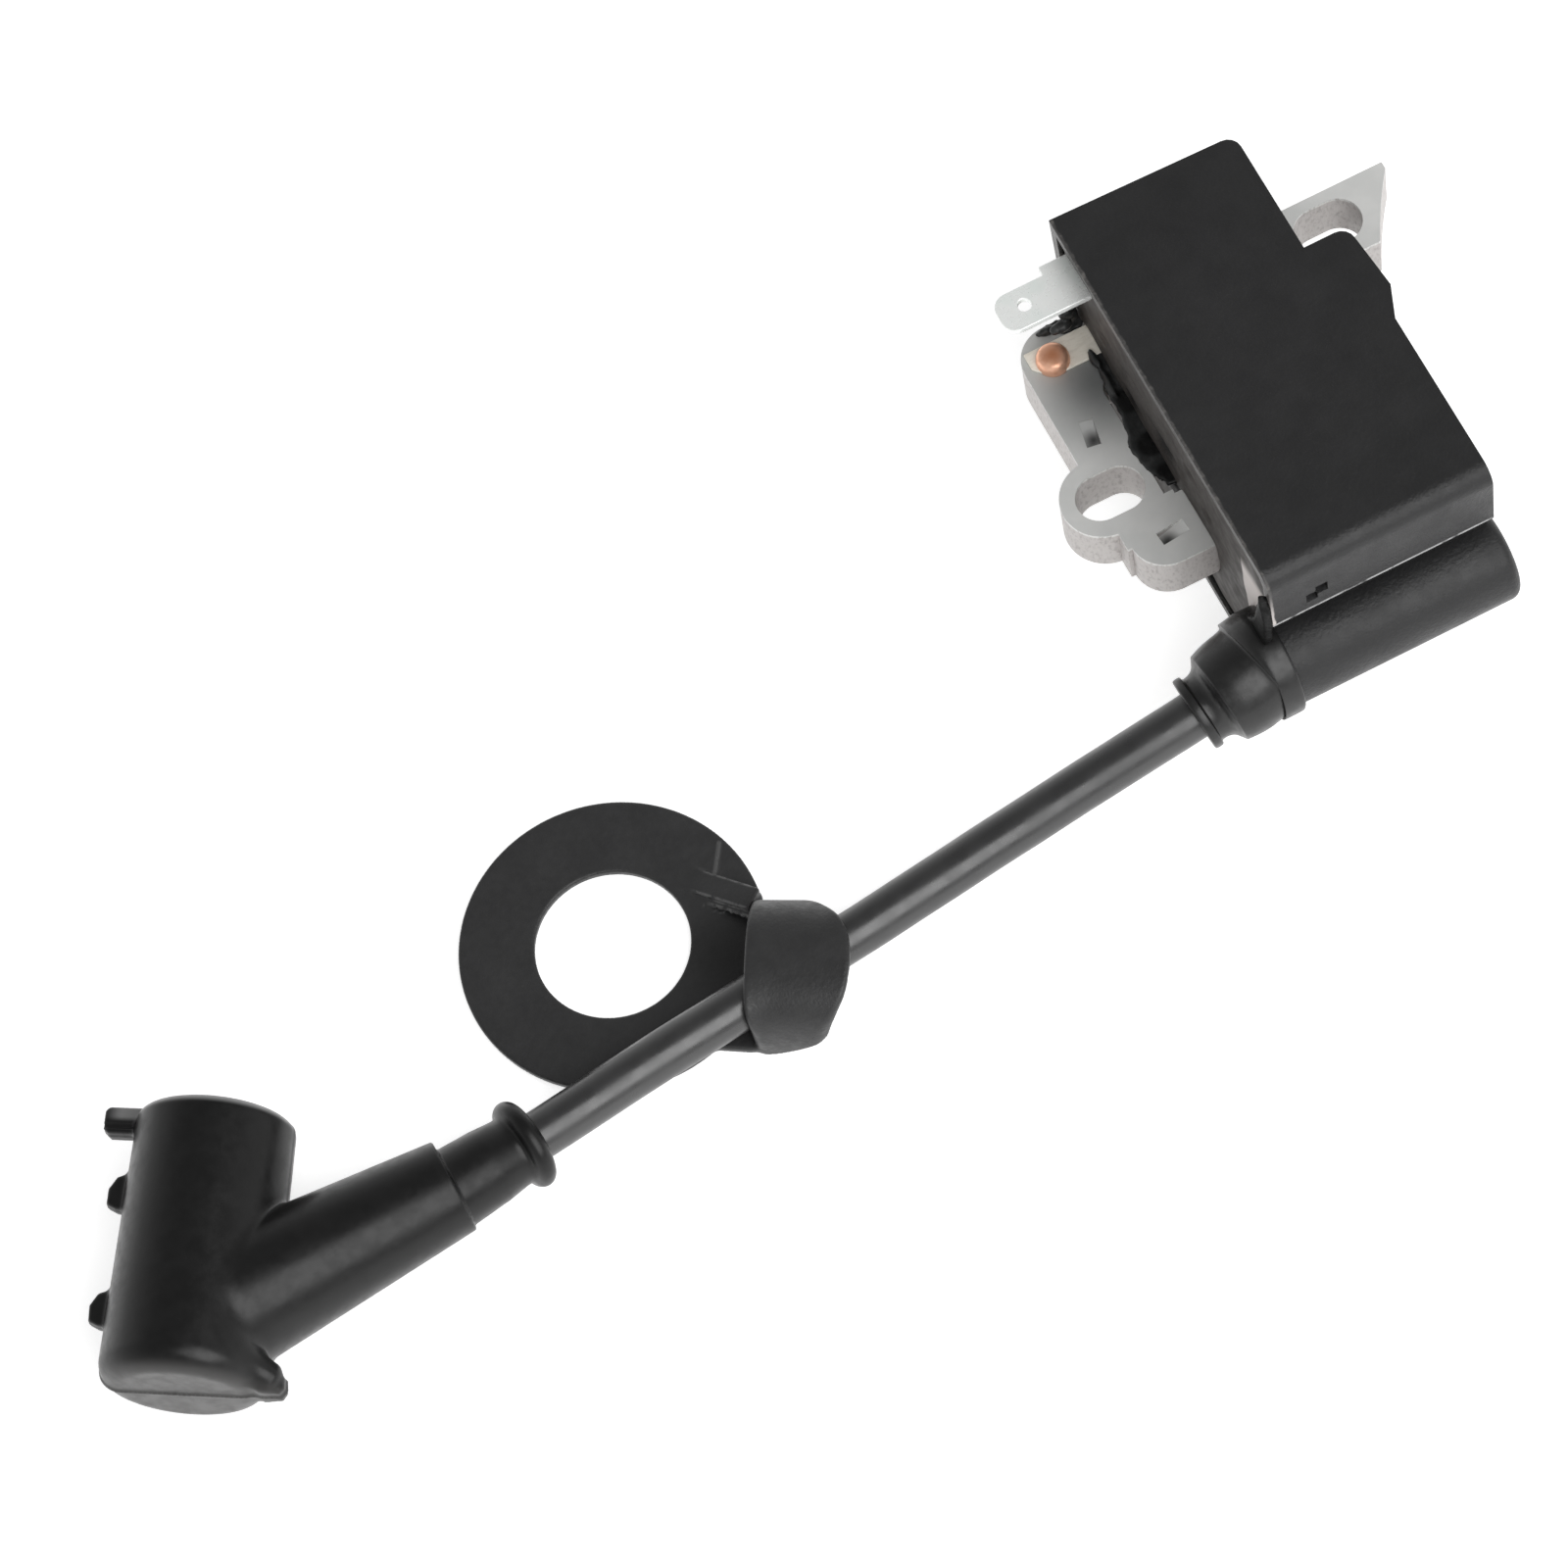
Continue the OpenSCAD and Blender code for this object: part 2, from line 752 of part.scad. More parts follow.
// Strap over the lead, with a round outer end
module strap() {
    intersection() {
        translate([strap_from, strap_y, 0])
            rotate([90, 0, 90])
                linear_extrude(height = 20)
                    difference() {
                        arch(strap_r, strap_h);
                        translate([0, -eps])
                            arch(strap_r - strap_t, strap_h - strap_t);
                    }
        translate([strap_end_centre[0], strap_end_centre[1], 0])
            cylinder(r = strap_end_r, h = 20);
    }
}

module guide_ring() {
    color("#1f1f21")
        difference() {
            translate([ring_at[0], ring_at[1], 0])
                rotate(ring_turn) {
                    difference() {
                        cylinder(r = ring_r, h = ring_t);
                        translate([0, 0, -1])
                            cylinder(r = ring_hole_r, h = ring_t + 2);
                    }
                    strap();
                    // Arms that carry the strap's legs; the far one stands up as a rib
                    translate(rib_from)
                        rotate(rib_turn)
                            translate([0, -arm_w / 2, 0])
                                cube([rib_l, arm_w, arm_h]);
                    translate([9, strap_y - strap_r, 0])
                        cube([9, arm_w, ring_t]);
                }
            // Room for the lead beside the near leg
            aim(LEAD_ROUTE[17], LEAD_ROUTE[11])
                cylinder(r = lead_notch_r, h = norm(LEAD_ROUTE[17] - LEAD_ROUTE[11]));
        }
}

// ---------------------------------------------------------------- plug boot

// Draws along the barrel: X from the mouth towards the closed end
module along_barrel() {
    translate(mouth_at)
        rotate(mouth_angle + 180)
            children();
}

module barrel_shape() {
    end_r = 2.6;
    lip_r = 1.2;
    along_barrel()
        rotate([0, 90, 0])
            rotate_extrude()
                polygon(concat([[0, 0]],
                    arc([mouth_r - lip_r, lip_r], lip_r, -90, 0, 4),
                    arc([barrel_r - end_r, barrel_l - end_r], end_r, 0, 90, 6),
                    [[0, barrel_l]]));
}

module sleeve_shape() {
    aim(sleeve_root, sleeve_step)
        cylinder(r1 = sleeve_root_r, r2 = sleeve_step_r, h = norm(sleeve_step - sleeve_root));
}

// Thin cuff on the lead, with a rolled bead at its end
module cuff_shape() {
    bead_at = norm(cuff_to - cuff_from) * (cuff_from[0] - bead_x) / (cuff_from[0] - cuff_to[0]);
    aim(cuff_from, cuff_to)
        rotate_extrude()
            polygon(concat([[0, 0], [cuff_root_r, 0], [cuff_end_r, bead_at - bead_r]],
                arc([bead_ring_r, bead_at], bead_r, -90, 90, 8),
                [[0, bead_at + bead_r]]));
}

// Pull tabs in the moulding's parting plane: a block, two fins and a tail
module pull_tabs() {
    along_barrel()
        translate([0, 0, -tab_t / 2])
            linear_extrude(height = tab_t) {
                polygon([[-0.5, -7], [-0.5, -11.6], [-0.1, -12], [1.8, -12], [2.3, -11.6], [2.3, -7]]);
                for (start = [6.5, 19.3])
                    translate([start, 0])
                        polygon([[0, -7], [0, -8.4], [0.7, -9.9], [2, -10.8], [3.9, -10.8], [4.1, -7]]);
                polygon([[25.6, 4], [26.6, 8.4], [28, 11], [29.4, 11.1], [30, 10.5], [30, 4]]);
            }
}

// A point of the part's frame, seen from the barrel: X towards its closed end
function in_barrel(p) =
    let (a = mouth_angle + 180, d = p - mouth_at)
    [d[0] * cos(a) + d[1] * sin(a), d[1] * cos(a) - d[0] * sin(a), d[2]];

// Route of the spring's tail: from its last turn into the sleeve, then along the lead's axis
tail_bend = in_barrel(cuff_from - 0.2 * (cuff_to - cuff_from));
tail_end = in_barrel(cuff_from - 0.005 * (cuff_to - cuff_from));
spring_end = [spring_from + spring_pitch * spring_turns, spring_r, 0];

module plug_boot() {
    color("#18181a")
        difference() {
            union() {
                barrel_shape();
                sleeve_shape();
                cuff_shape();
                pull_tabs();
            }
            along_barrel()
                rotate([0, 90, 0]) {
                    translate([0, 0, -1])
                        cylinder(r = plug_bore_r, h = plug_bore_l + 1);
                    cylinder(r = chamber_r, h = chamber_l);
                }
            // Seat of the lead, and the channel for the spring's tail
            aim(cuff_from, cuff_to)
                cylinder(r = lead_r + running_fit, h = 40);
            aim(cuff_from, 2 * cuff_from - cuff_to)
                translate([0, 0, -1])
                    cylinder(r = tail_way_r + 0.4, h = 6.2);
            along_barrel()
                aim(tail_bend, spring_end)
                    cylinder(r = tail_way_r, h = norm(spring_end - tail_bend));
        }
}

// Wire spring that grips the plug's terminal, with a tail that runs to the lead's end
module contact_spring() {
    per_turn = 14;
    coil = [for (i = [0:spring_turns * per_turn]) let (a = 360 * i / per_turn)
        [spring_from + spring_pitch * i / per_turn, spring_r * cos(a), spring_r * sin(a)]];
    color("#c4c6c8")
        along_barrel()
            swept_tube(concat(coil, [tail_bend, tail_end]), wire_r, 8, [1, 0, 0]);
}

// ---------------------------------------------------------------- nodes

housing();
potting_resin();
core_laminations();
ground_rivet();
ground_strap();
kill_terminal();
primary_bobbin();
primary_winding();
secondary_bobbin();
secondary_winding();
charge_bobbin();
charge_winding();
circuit_board();
storage_capacitor();
thyristor();
control_chip();
rectifier_diodes();
chip_resistors();
ht_contact_pin();
tower_grommet();
ht_lead();
lead_conductor();
guide_ring();
plug_boot();
contact_spring();
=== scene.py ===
"""Looks of the flywheel ignition coil: camera, lead, detailed pieces and materials around the CAD frame."""

import math

import bmesh
import bpy
import numpy as np
from mathutils import Matrix, Vector


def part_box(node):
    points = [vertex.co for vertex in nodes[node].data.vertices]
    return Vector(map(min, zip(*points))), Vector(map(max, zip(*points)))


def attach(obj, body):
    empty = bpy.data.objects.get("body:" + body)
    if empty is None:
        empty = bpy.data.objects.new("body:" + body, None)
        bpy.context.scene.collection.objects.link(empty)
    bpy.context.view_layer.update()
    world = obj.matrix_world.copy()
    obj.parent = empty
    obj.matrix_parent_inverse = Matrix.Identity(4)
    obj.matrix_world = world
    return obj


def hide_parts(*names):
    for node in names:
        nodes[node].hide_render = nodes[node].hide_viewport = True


MM = 0.001

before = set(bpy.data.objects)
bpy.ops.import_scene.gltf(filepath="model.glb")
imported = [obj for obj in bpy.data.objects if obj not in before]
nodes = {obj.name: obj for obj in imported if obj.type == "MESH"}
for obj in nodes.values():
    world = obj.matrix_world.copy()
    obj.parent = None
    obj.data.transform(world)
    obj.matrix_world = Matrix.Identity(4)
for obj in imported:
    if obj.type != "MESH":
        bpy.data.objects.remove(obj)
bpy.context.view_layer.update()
COIL, RING, BOOT = "coil_unit", "guide_ring", "plug_boot"

# ---------------------------------------------------------------- camera


def add_camera():
    """The main view: from above and in front, rolled a little, with a long lens."""
    eye = Vector((-0.12015, -0.27451, 0.58885))
    target = Vector((-0.06352, -0.00331, 0))
    roll = math.radians(-15.62)
    data = bpy.data.cameras.new("camera")
    data.lens = 139.1
    data.sensor_width = 36
    data.clip_start = 0.01
    camera = bpy.data.objects.new("camera", data)
    look = (target - eye).to_track_quat("-Z", "Y").to_matrix()
    camera.matrix_world = Matrix.Translation(eye) @ (look @ Matrix.Rotation(roll, 3, "Z")).to_4x4()
    bpy.context.scene.collection.objects.link(camera)
    bpy.context.scene.camera = camera


add_camera()

# ---------------------------------------------------------------- sizes, all in mm

# The coil unit: its open side, the end of that side's chamfer, the tower's mouth, and heights
MOUTH_X = -13.3
RIM_END_Y = -21.9
TOWER = np.array([MOUTH_X, -21.05, 12])
TOP_Z = 31.5
CORE_Z = 7.2
CORE_TOP = 13.7
# The lead, from its pierced end in the tower to its end in the boot
LEAD_R = 2.65
LEAD_ROUTE = np.array([
    (-5, -21.05, 12), (-10, -21.05, 12), (-14, -21.1, 12), (-18, -21.65, 11.4),
    (-23, -22.1, 10.6), (-28, -22.25, 9.6), (-33, -22.35, 8.5), (-38, -22.5, 7.5),
    (-43, -22.75, 6.6), (-48, -23, 5.8), (-53, -23.35, 5.1), (-58, -23.75, 4.6),
    (-63, -24.3, 4.4), (-68, -24.8, 4.3), (-73, -25.35, 4.3), (-78, -25.9, 4.3),
    (-83, -26.5, 4.4), (-88, -27.15, 4.7), (-93, -27.95, 5.2), (-98, -28.9, 5.9),
    (-103, -29.85, 6.7), (-108, -30.75, 7.55), (-113, -31.65, 8.4), (-118, -32.55, 9.25),
    (-123, -33.45, 10.1),
])
# Where the ring lies
RING_AT = np.array([-87.9, -11.65, 0])
RING_TURN = math.radians(-29)
# The boot's barrel: its radius at the closed end and at the mouth, its length, and where the mouth is
BARREL_R = 8.9
MOUTH_R = 8.35
BARREL_L = 30
MOUTH_AT = np.array([-133.4, -13.2, BARREL_R])
BARREL_TURN = math.radians(239)

# ---------------------------------------------------------------- mesh helpers


def to_mesh(name, bm):
    """A mesh from one that was being edited, which is freed."""
    mesh = bpy.data.meshes.new(name)
    bm.to_mesh(mesh)
    bm.free()
    return mesh


def make(name, points, faces, body, replaced=()):
    """A piece from points in mm and faces, welded and smooth shaded, that rides on a body."""
    bm = bmesh.new()
    verts = [bm.verts.new(Vector(p) * MM) for p in np.asarray(points, float)]
    for face in faces:
        bm.faces.new([verts[i] for i in face])
    bmesh.ops.remove_doubles(bm, verts=bm.verts, dist=0.002 * MM)
    bmesh.ops.recalc_face_normals(bm, faces=bm.faces)
    return place(name, to_mesh(name, bm), body, replaced)


def place(name, mesh, body, replaced=()):
    """Links a mesh as a smooth piece, with its body and the nodes it stands for."""
    mesh.shade_smooth()
    piece = bpy.data.objects.new(name, mesh)
    bpy.context.scene.collection.objects.link(piece)
    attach(piece, body)
    if replaced:
        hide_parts(*replaced)
    return piece


def welded(node):
    """A copy of a CAD node's mesh, with its faces joined at their corners."""
    bm = bmesh.new()
    bm.from_mesh(nodes[node].data)
    bmesh.ops.remove_doubles(bm, verts=bm.verts, dist=0.004 * MM)
    return bm


def flat_faced(node):
    """A welded copy of a CAD node's mesh, with each flat face in one piece."""
    bm = welded(node)
    bmesh.ops.dissolve_limit(bm, angle_limit=math.radians(1), verts=bm.verts, edges=bm.edges)
    return bm


def bevel(piece, width, segments=3, weighted=False):
    """Rounds the sharp or the weighted edges of a piece by width in mm."""
    edges = piece.modifiers.new("edges", "BEVEL")
    edges.width = width * MM
    edges.segments = segments
    edges.limit_method = "WEIGHT" if weighted else "ANGLE"
    edges.angle_limit = math.radians(32)
    edges.use_clamp_overlap = True


def flat_normals(piece):
    """Keeps large faces flat in shading beside their rounded edges."""
    normals = piece.modifiers.new("normals", "WEIGHTED_NORMAL")
    normals.weight = 80


def unit(v):
    v = np.asarray(v, float)
    return v / np.linalg.norm(v)


def smooth_line(points, per=10):
    """A smooth line through the points."""
    p = np.asarray(points, float)
    p = np.vstack([2 * p[0] - p[1], p, 2 * p[-1] - p[-2]])
    line = []
    for a, b, c, d in zip(p, p[1:], p[2:], p[3:]):
        for t in np.arange(per) / per:
            line.append(
                0.5 * (2 * b + (c - a) * t + (2 * a - 5 * b + 4 * c - d) * t**2
                       + (3 * b - 3 * c + d - a) * t**3)
            )
    line.append(p[-2])
    return np.array(line)


def soften(profile, rounds=2):
    """Cuts the corners of a closed outline, so that its edges are rounded."""
    p = np.asarray(profile, float)
    for _ in range(rounds):
        following = np.roll(p, -1, axis=0)
        p = np.stack([0.8 * p + 0.2 * following, 0.2 * p + 0.8 * following], 1).reshape(-1, p.shape[1])
    return p


def circle(centre, side, up, radius, sides):
    """Points round a centre, in the plane of two directions."""
    turns = [2 * math.pi * k / sides for k in range(sides)]
    return [centre + radius * (math.cos(a) * side + math.sin(a) * up) for a in turns]


def wall(rings, sides, closed=False):
    """Four-sided faces that join each ring of points to the next."""
    faces = []
    for i in range(rings if closed else rings - 1):
        j = (i + 1) % rings
        for k in range(sides):
            m = (k + 1) % sides
            faces.append((i * sides + k, i * sides + m, j * sides + m, j * sides + k))
    return faces


def sweep(profile, place_at, sides):
    """Points and faces of a closed outline of (distance, radius) turned round a path."""
    points = []
    for s, r in profile:
        centre, along = place_at(s)
        side = unit(np.cross(along, (0, 0.02, 1)))
        points += circle(centre, side, np.cross(side, along), r, sides)
    return points, wall(len(profile), sides, closed=True)


# ---------------------------------------------------------------- solids from distance fields


def length(v):
    return np.sqrt((v * v).sum(-1))


def both(a, b, r):
    """Where two solids overlap, with the edge between them rounded."""
    q = np.stack([a + r, b + r], -1)
    return np.minimum(q.max(-1), 0) + length(np.maximum(q, 0)) - r


def either(a, b, k):
    """Two solids in one, with a fillet of about k between them."""
    h = np.clip(0.5 + 0.5 * (b - a) / k, 0, 1)
    return b * (1 - h) + a * h - k * h * (1 - h)


def less(a, b, k):
    """Solid a with b taken out of it."""
    return -either(-a, b, k)


def cone(p, start, end, r_start, r_end, edge):
    """A straight round bar between two points, with rounded ends."""
    start = np.asarray(start, float)
    along = unit(np.asarray(end, float) - start)
    reach = np.linalg.norm(np.asarray(end, float) - start)
    d = p - start
    t = d @ along
    slope = (r_end - r_start) / reach
    side = (length(d - t[:, None] * along) - (r_start + slope * t)) / math.hypot(1, slope)
    return both(side, np.maximum(-t, t - reach), edge)


def outline(x, y, corners):
    """Signed distance to a plane outline."""
    c = np.asarray(corners, float)
    nearest = np.full(x.shape, 1e9)
    sign = np.ones(x.shape)
    for (ax, ay), (bx, by) in zip(c, np.roll(c, 1, axis=0)):
        ex, ey = bx - ax, by - ay
        wx, wy = x - ax, y - ay
        h = np.clip((wx * ex + wy * ey) / (ex * ex + ey * ey), 0, 1)
        nearest = np.minimum(nearest, (wx - ex * h) ** 2 + (wy - ey * h) ** 2)
        above, below, left = y >= ay, y < by, ex * wy > ey * wx
        crossing = (above & below & left) | (~above & ~below & ~left)
        sign = np.where(crossing, -sign, sign)
    return sign * np.sqrt(nearest)


def ripple(p, size):
    """A smooth uneven value between about -1 and 1, from sines that don't line up."""
    q = np.asarray(p, float) / size
    x, y, z = q[:, 0], q[:, 1], q[:, 2]
    return (np.sin(2.1 * x + 1.3 * y + 0.7) * np.cos(1.7 * z - 0.9 * x)
            + 0.6 * np.sin(3.7 * y - 2.3 * z + 1.9) * np.cos(2.9 * x + 0.4)
            + 0.4 * np.sin(6.1 * z + 5.3 * x - 4.1 * y)) / 2


def settle(points, field, reach):
    """Moves points down the field's slope onto its surface, by reach at most."""
    e = 0.03
    slope = np.stack([(field(points + s) - field(points - s)) / (2 * e) for s in np.eye(3) * e], -1)
    size = np.maximum((slope * slope).sum(-1), 0.05)
    step = -(field(points) / size)[:, None] * slope
    far = np.maximum(length(step) / reach, 1)
    return points + step / far[:, None]


def skin(field, low, high, step):
    """Points and square faces of the surface where a field is zero, evened out and settled on it."""
    low = np.asarray(low, float)
    count = np.ceil((np.asarray(high) - low) / step).astype(int) + 1
    axes = [low[i] + step * np.arange(count[i]) for i in range(3)]
    value = field(np.stack(np.meshgrid(*axes, indexing="ij"), -1).reshape(-1, 3)).reshape(count)
    cells = int(np.prod(count))
    total, hits, quads = np.zeros((cells, 3)), np.zeros(cells), []
    for axis in range(3):
        first = np.take(value, range(count[axis] - 1), axis)
        second = np.take(value, range(1, count[axis]), axis)
        index = np.argwhere((first < 0) != (second < 0))
        v0, v1 = first[tuple(index.T)], second[tuple(index.T)]
        at = index.astype(float)
        at[:, axis] += v0 / (v0 - v1)
        b, c = (axis + 1) % 3, (axis + 2) % 3
        keys = []
        for db, dc in ((0, 0), (-1, 0), (-1, -1), (0, -1)):
            cell = index.copy()
            cell[:, b] += db
            cell[:, c] += dc
            key = np.ravel_multi_index(cell.T, count)
            keys.append(key)
            for k in range(3):
                total[:, k] += np.bincount(key, weights=at[:, k], minlength=cells)
            hits += np.bincount(key, minlength=cells)
        quad = np.stack(keys, 1)
        quads.append(np.where((v0 < 0)[:, None], quad, quad[:, ::-1]))
    used, faces = np.unique(np.vstack(quads), return_inverse=True)
    faces = faces.reshape(-1, 4)
    points = low + step * total[used] / hits[used, None]
    ends = np.vstack([faces[:, [0, 1]], faces[:, [1, 2]], faces[:, [2, 3]], faces[:, [3, 0]]])
    near = np.bincount(ends.ravel(), minlength=len(points))
    for _ in range(3):
        points = settle(points, field, step)
        mean = np.stack([
            np.bincount(ends[:, 0], weights=points[ends[:, 1], k], minlength=len(points))
            + np.bincount(ends[:, 1], weights=points[ends[:, 0], k], minlength=len(points))
            for k in range(3)
        ], -1) / near[:, None]
        points = 0.5 * points + 0.5 * mean
    for _ in range(3):
        points = settle(points, field, step)
    return points, faces.tolist()


def room(node):
    """The corners of a CAD node's box in mm, with room for detail."""
    low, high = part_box(node)
    return np.asarray(low) / MM - 1.6, np.asarray(high) / MM + 1.6


def solid(name, field, low, high, step, body, slot, replaced=()):
    points, faces = skin(field, low, high, step * (1))
    mesh = bpy.data.meshes.new(name)
    mesh.from_pydata((points * MM).tolist(), [], faces)
    mesh.update()
    return place(name, mesh, body, replaced)


# ---------------------------------------------------------------- coil unit


def add_cup():
    """The potting cup: moulded edges, and a chamfer along the top of its open side."""
    bm = flat_faced("housing")
    weight = bm.edges.layers.float.new("bevel_weight_edge")
    for edge in bm.edges:
        ends = [v.co / MM for v in edge.verts]
        if all(v.x < MOUTH_X + 0.1 and v.z > TOP_Z - 0.5 and v.y > RIM_END_Y for v in ends):
            edge[weight] = 1
    cup = place("cup", to_mesh("cup", bm), COIL, ["housing"])
    bevel(cup, 0.7, segments=1, weighted=True)
    bevel(cup, 0.28)
    flat_normals(cup)
    return cup


# Stamped interlocks: how deep their flat floors are in the CAD part and how far they fall here, and for
# each of the two, the one that slopes along Y and the one that slopes along X, its start and its length
LOCK_DEPTH = 0.5
LOCK_FALL = 1.2
Y_LOCK = (13.2, 2.8)
X_LOCK = (-13.9, 3.1)
LOCK_MIDDLES = [(-17.8, 10.9), (-16.5, -3.7)]


def add_core():
    """The stack of laminations: broken edges, and interlocks whose floors slope down to one end."""
    bm = flat_faced("core_laminations")
    for vert in bm.verts:
        x, y, z = vert.co / MM
        if abs(z - (CORE_TOP - LOCK_DEPTH)) < 0.05:
            at, (start, reach) = (y, Y_LOCK) if y > 5 else (x, X_LOCK)
            down = min(max((start - at) / reach, 0), 1)
            vert.co.z = (CORE_TOP - 0.05 - LOCK_FALL * down) * MM
    core = place("core", to_mesh("core", bm), COIL, ["core_laminations"])
    bevel(core, 0.22)
    flat_normals(core)
    return core


RIVET = np.array([-17.4, 21.05, 0])


def add_rivet():
    """Copper rivet with a flat-topped dome and a small swage round its foot."""
    top = CORE_TOP + 1.75
    profile = [
        (CORE_Z - 0.8, 0.001), (CORE_Z - 0.8, 1.2), (CORE_Z - 0.5, 1.6), (CORE_Z - 0.2, 1.83),
        (CORE_TOP, 1.84), (CORE_TOP + 0.45, 1.86), (CORE_TOP + 1.0, 1.82), (top - 0.35, 1.68),
        (top - 0.12, 1.45), (top - 0.02, 1.15), (top, 0.8), (top + 0.02, 0.001),
    ]
    points, faces = sweep(profile, lambda s: (RIVET + (0, 0, s), np.array([0.0, 0.0, 1.0])), 72)
    return make("rivet", points, faces, COIL, ["ground_rivet"])


def ribbon(path, width, thick, mid_y):
    """Points and faces of a strip that follows a path in X and Z, bent with round corners."""
    line = smooth_line([(x, 0, z) for x, z in path], 6)
    points = []
    for i, p in enumerate(line):
        along = unit(line[min(i + 1, len(line) - 1)] - line[max(i - 1, 0)])
        out = np.array([-along[2], 0, along[0]])
        for dy, dn in ((-0.5, -0.5), (0.5, -0.5), (0.5, 0.5), (-0.5, 0.5)):
            points.append(p + out * dn * thick + (0, mid_y + dy * width, 0))
    last = len(points) - 4
    return points, wall(len(line), 4) + [(3, 2, 1, 0), (last, last + 1, last + 2, last + 3)]


def add_strap():
    """Tinned ground strap: under the rivet, one corner cut off, bent up where it enters the resin."""
    base = CORE_TOP + 0.22
    path = [(-19.9, base), (-18, base), (-14.5, base), (-9.6, base), (-8.1, base + 0.05),
            (-7.6, base + 0.5), (-7.5, base + 1.6), (-7.5, base + 4.3)]
    width, thick, mid_y = 3.9, 0.4, 21.3
    points, faces = ribbon(path, width, thick, mid_y)
    cut_x = -18.2
    points = [p + (0, 1.1 * max(cut_x - p[0], 0) * (p[1] < mid_y), 0) for p in points]
    strap = make("earth_strap", points, faces, COIL, ["ground_strap"])
    bevel(strap, 0.1)
    flat_normals(strap)
    return strap


def add_blade():
    """Plated blade for the stop wire, with a round detent hole and stamped edges."""
    mesh = to_mesh("blade", flat_faced("kill_terminal"))
    blade = place("blade", mesh, COIL, ["kill_terminal"])
    bevel(blade, 0.14)
    flat_normals(blade)
    return blade


# Dents in the resin's face: Y and Z of the middle, and half the size each way
DENTS = [(12, 15.8, 2.6, 0.8), (4, 18.7, 3.4, 1.0), (3.4, 12.4, 2.2, 0.9), (-2.5, 22.9, 1.6, 0.7),
         (-6, 19.2, 1.1, 0.8), (15.5, 20.4, 3, 0.9), (9.5, 21.8, 2.6, 0.7)]


def add_resin():
    """Potting resin: its CAD solid with a poured, wavy face and sunk dents."""
    source_mesh = to_mesh("potting_resin_copy", welded("potting_resin"))
    source = bpy.data.objects.new("resin_source", source_mesh)
    bpy.context.scene.collection.objects.link(source)
    remesh = source.modifiers.new("remesh", "REMESH")
    remesh.mode = "VOXEL"
    remesh.voxel_size = 0.4 * MM
    settled = source.modifiers.new("settled", "SMOOTH")
    settled.factor = 0.6
    settled.iterations = 10
    shaped = source.evaluated_get(bpy.context.evaluated_depsgraph_get())
    mesh = bpy.data.meshes.new_from_object(shaped)
    bpy.data.objects.remove(source)
    count = len(mesh.vertices)
    points, normals = np.empty(count * 3), np.empty(count * 3)
    mesh.vertices.foreach_get("co", points)
    mesh.vertices.foreach_get("normal", normals)
    points = points.reshape(-1, 3) / MM
    facing = np.clip(-normals.reshape(-1, 3)[:, 0] * 1.6 - 0.4, 0, 1)
    front = facing * (points[:, 0] < MOUTH_X + 2.2)
    wave_depth, dent_depth, sunk = 0.12, 0.5, 0.1
    wave = wave_depth * ripple(points, 5)
    for y, z, ry, rz in DENTS:
        near = ((points[:, 1] - y) / ry) ** 2 + ((points[:, 2] - z) / rz) ** 2
        wave -= dent_depth * np.exp(-near * 1.4)
    points[:, 0] -= front * (wave - sunk)
    mesh.vertices.foreach_set("co", (points * MM).ravel())
    mesh.update()
    return place("resin", mesh, COIL, ["potting_resin"])


# Crumbs of resin: the middle, and half the size each way
BITS = [
    ((-15.2, 23.1, 16.4), (1.3, 0.7, 0.6)), ((-14.2, 23.7, 17.6), (0.9, 0.6, 0.9)),
    ((-13.6, 24.4, 16.0), (0.9, 1.0, 1.3)), ((-16.6, 24.6, 14.1), (1.0, 0.45, 0.45)),
    ((-13.5, 19.0, 14.4), (0.45, 1.3, 0.7)), ((-13.4, 15.6, 14.0), (0.4, 1.6, 0.6)),
    ((-13.2, 25.6, 24.5), (0.5, 0.4, 1.0)),
]
BITS_BOX = (-19, 0.5, 11.5), (-10.5, 28, 27.5)
# Outlines of the two films of resin, from above
CREEP = [(-11, 20.9), (-13, 20.8), (-13.9, 16), (-14.1, 13.5), (-14.1, 10.9), (-15, 7.8), (-14.8, 4.6),
         (-13.4, 1.7), (-11, 1.5)]
CORNER = [(-17.7, 24.8), (-16.1, 25.4), (-14.2, 25.2), (-11.5, 24.7), (-12.9, 23.4), (-14.4, 23.5),
          (-15.2, 23.7)]
# Outline of the spur in Y and Z
SPUR = [(-21.3, 28.5), (-22.0, 26), (-22.4, 23.3), (-21.8, 17), (-17.6, 15.6), (-16.2, 15.0), (-19.6, 20.7)]
# The spur's middle and half its thickness along X
SPUR_X = -13.7
SPUR_HALF = 0.5
SPUR_BOX = (-15, -23.4, 14), (-12.4, -15, 31)


def bits_field(p):
    """Resin that crept onto the core: two ragged films, and crumbs joined where they meet."""
    x, y, z = p.T
    ragged = 0.22 * ripple(p, 0.9)
    value = np.full(len(p), 1e3)
    film = np.abs(z - CORE_TOP - 0.1) - 0.25
    for corners in (CREEP, CORNER):
        value = either(value, both(outline(x, y, corners) + ragged, film, 0.15), 0.3)
    for centre, size in BITS:
        size = np.asarray(size)
        d = (p - centre) / size
        value = either(value, (length(d) - 1) * size.min() + ragged / 2, 0.3)
    return value


def spur_field(p):
    """A tapered, ragged run of resin that hangs over the grommet."""
    x, y, z = p.T
    return both(outline(y, z, SPUR) + 0.2 * ripple(p, 0.8), np.abs(x - SPUR_X) - SPUR_HALF, 0.25)


# ---------------------------------------------------------------- grommet

RIDGE_X = MOUTH_X - 1.5
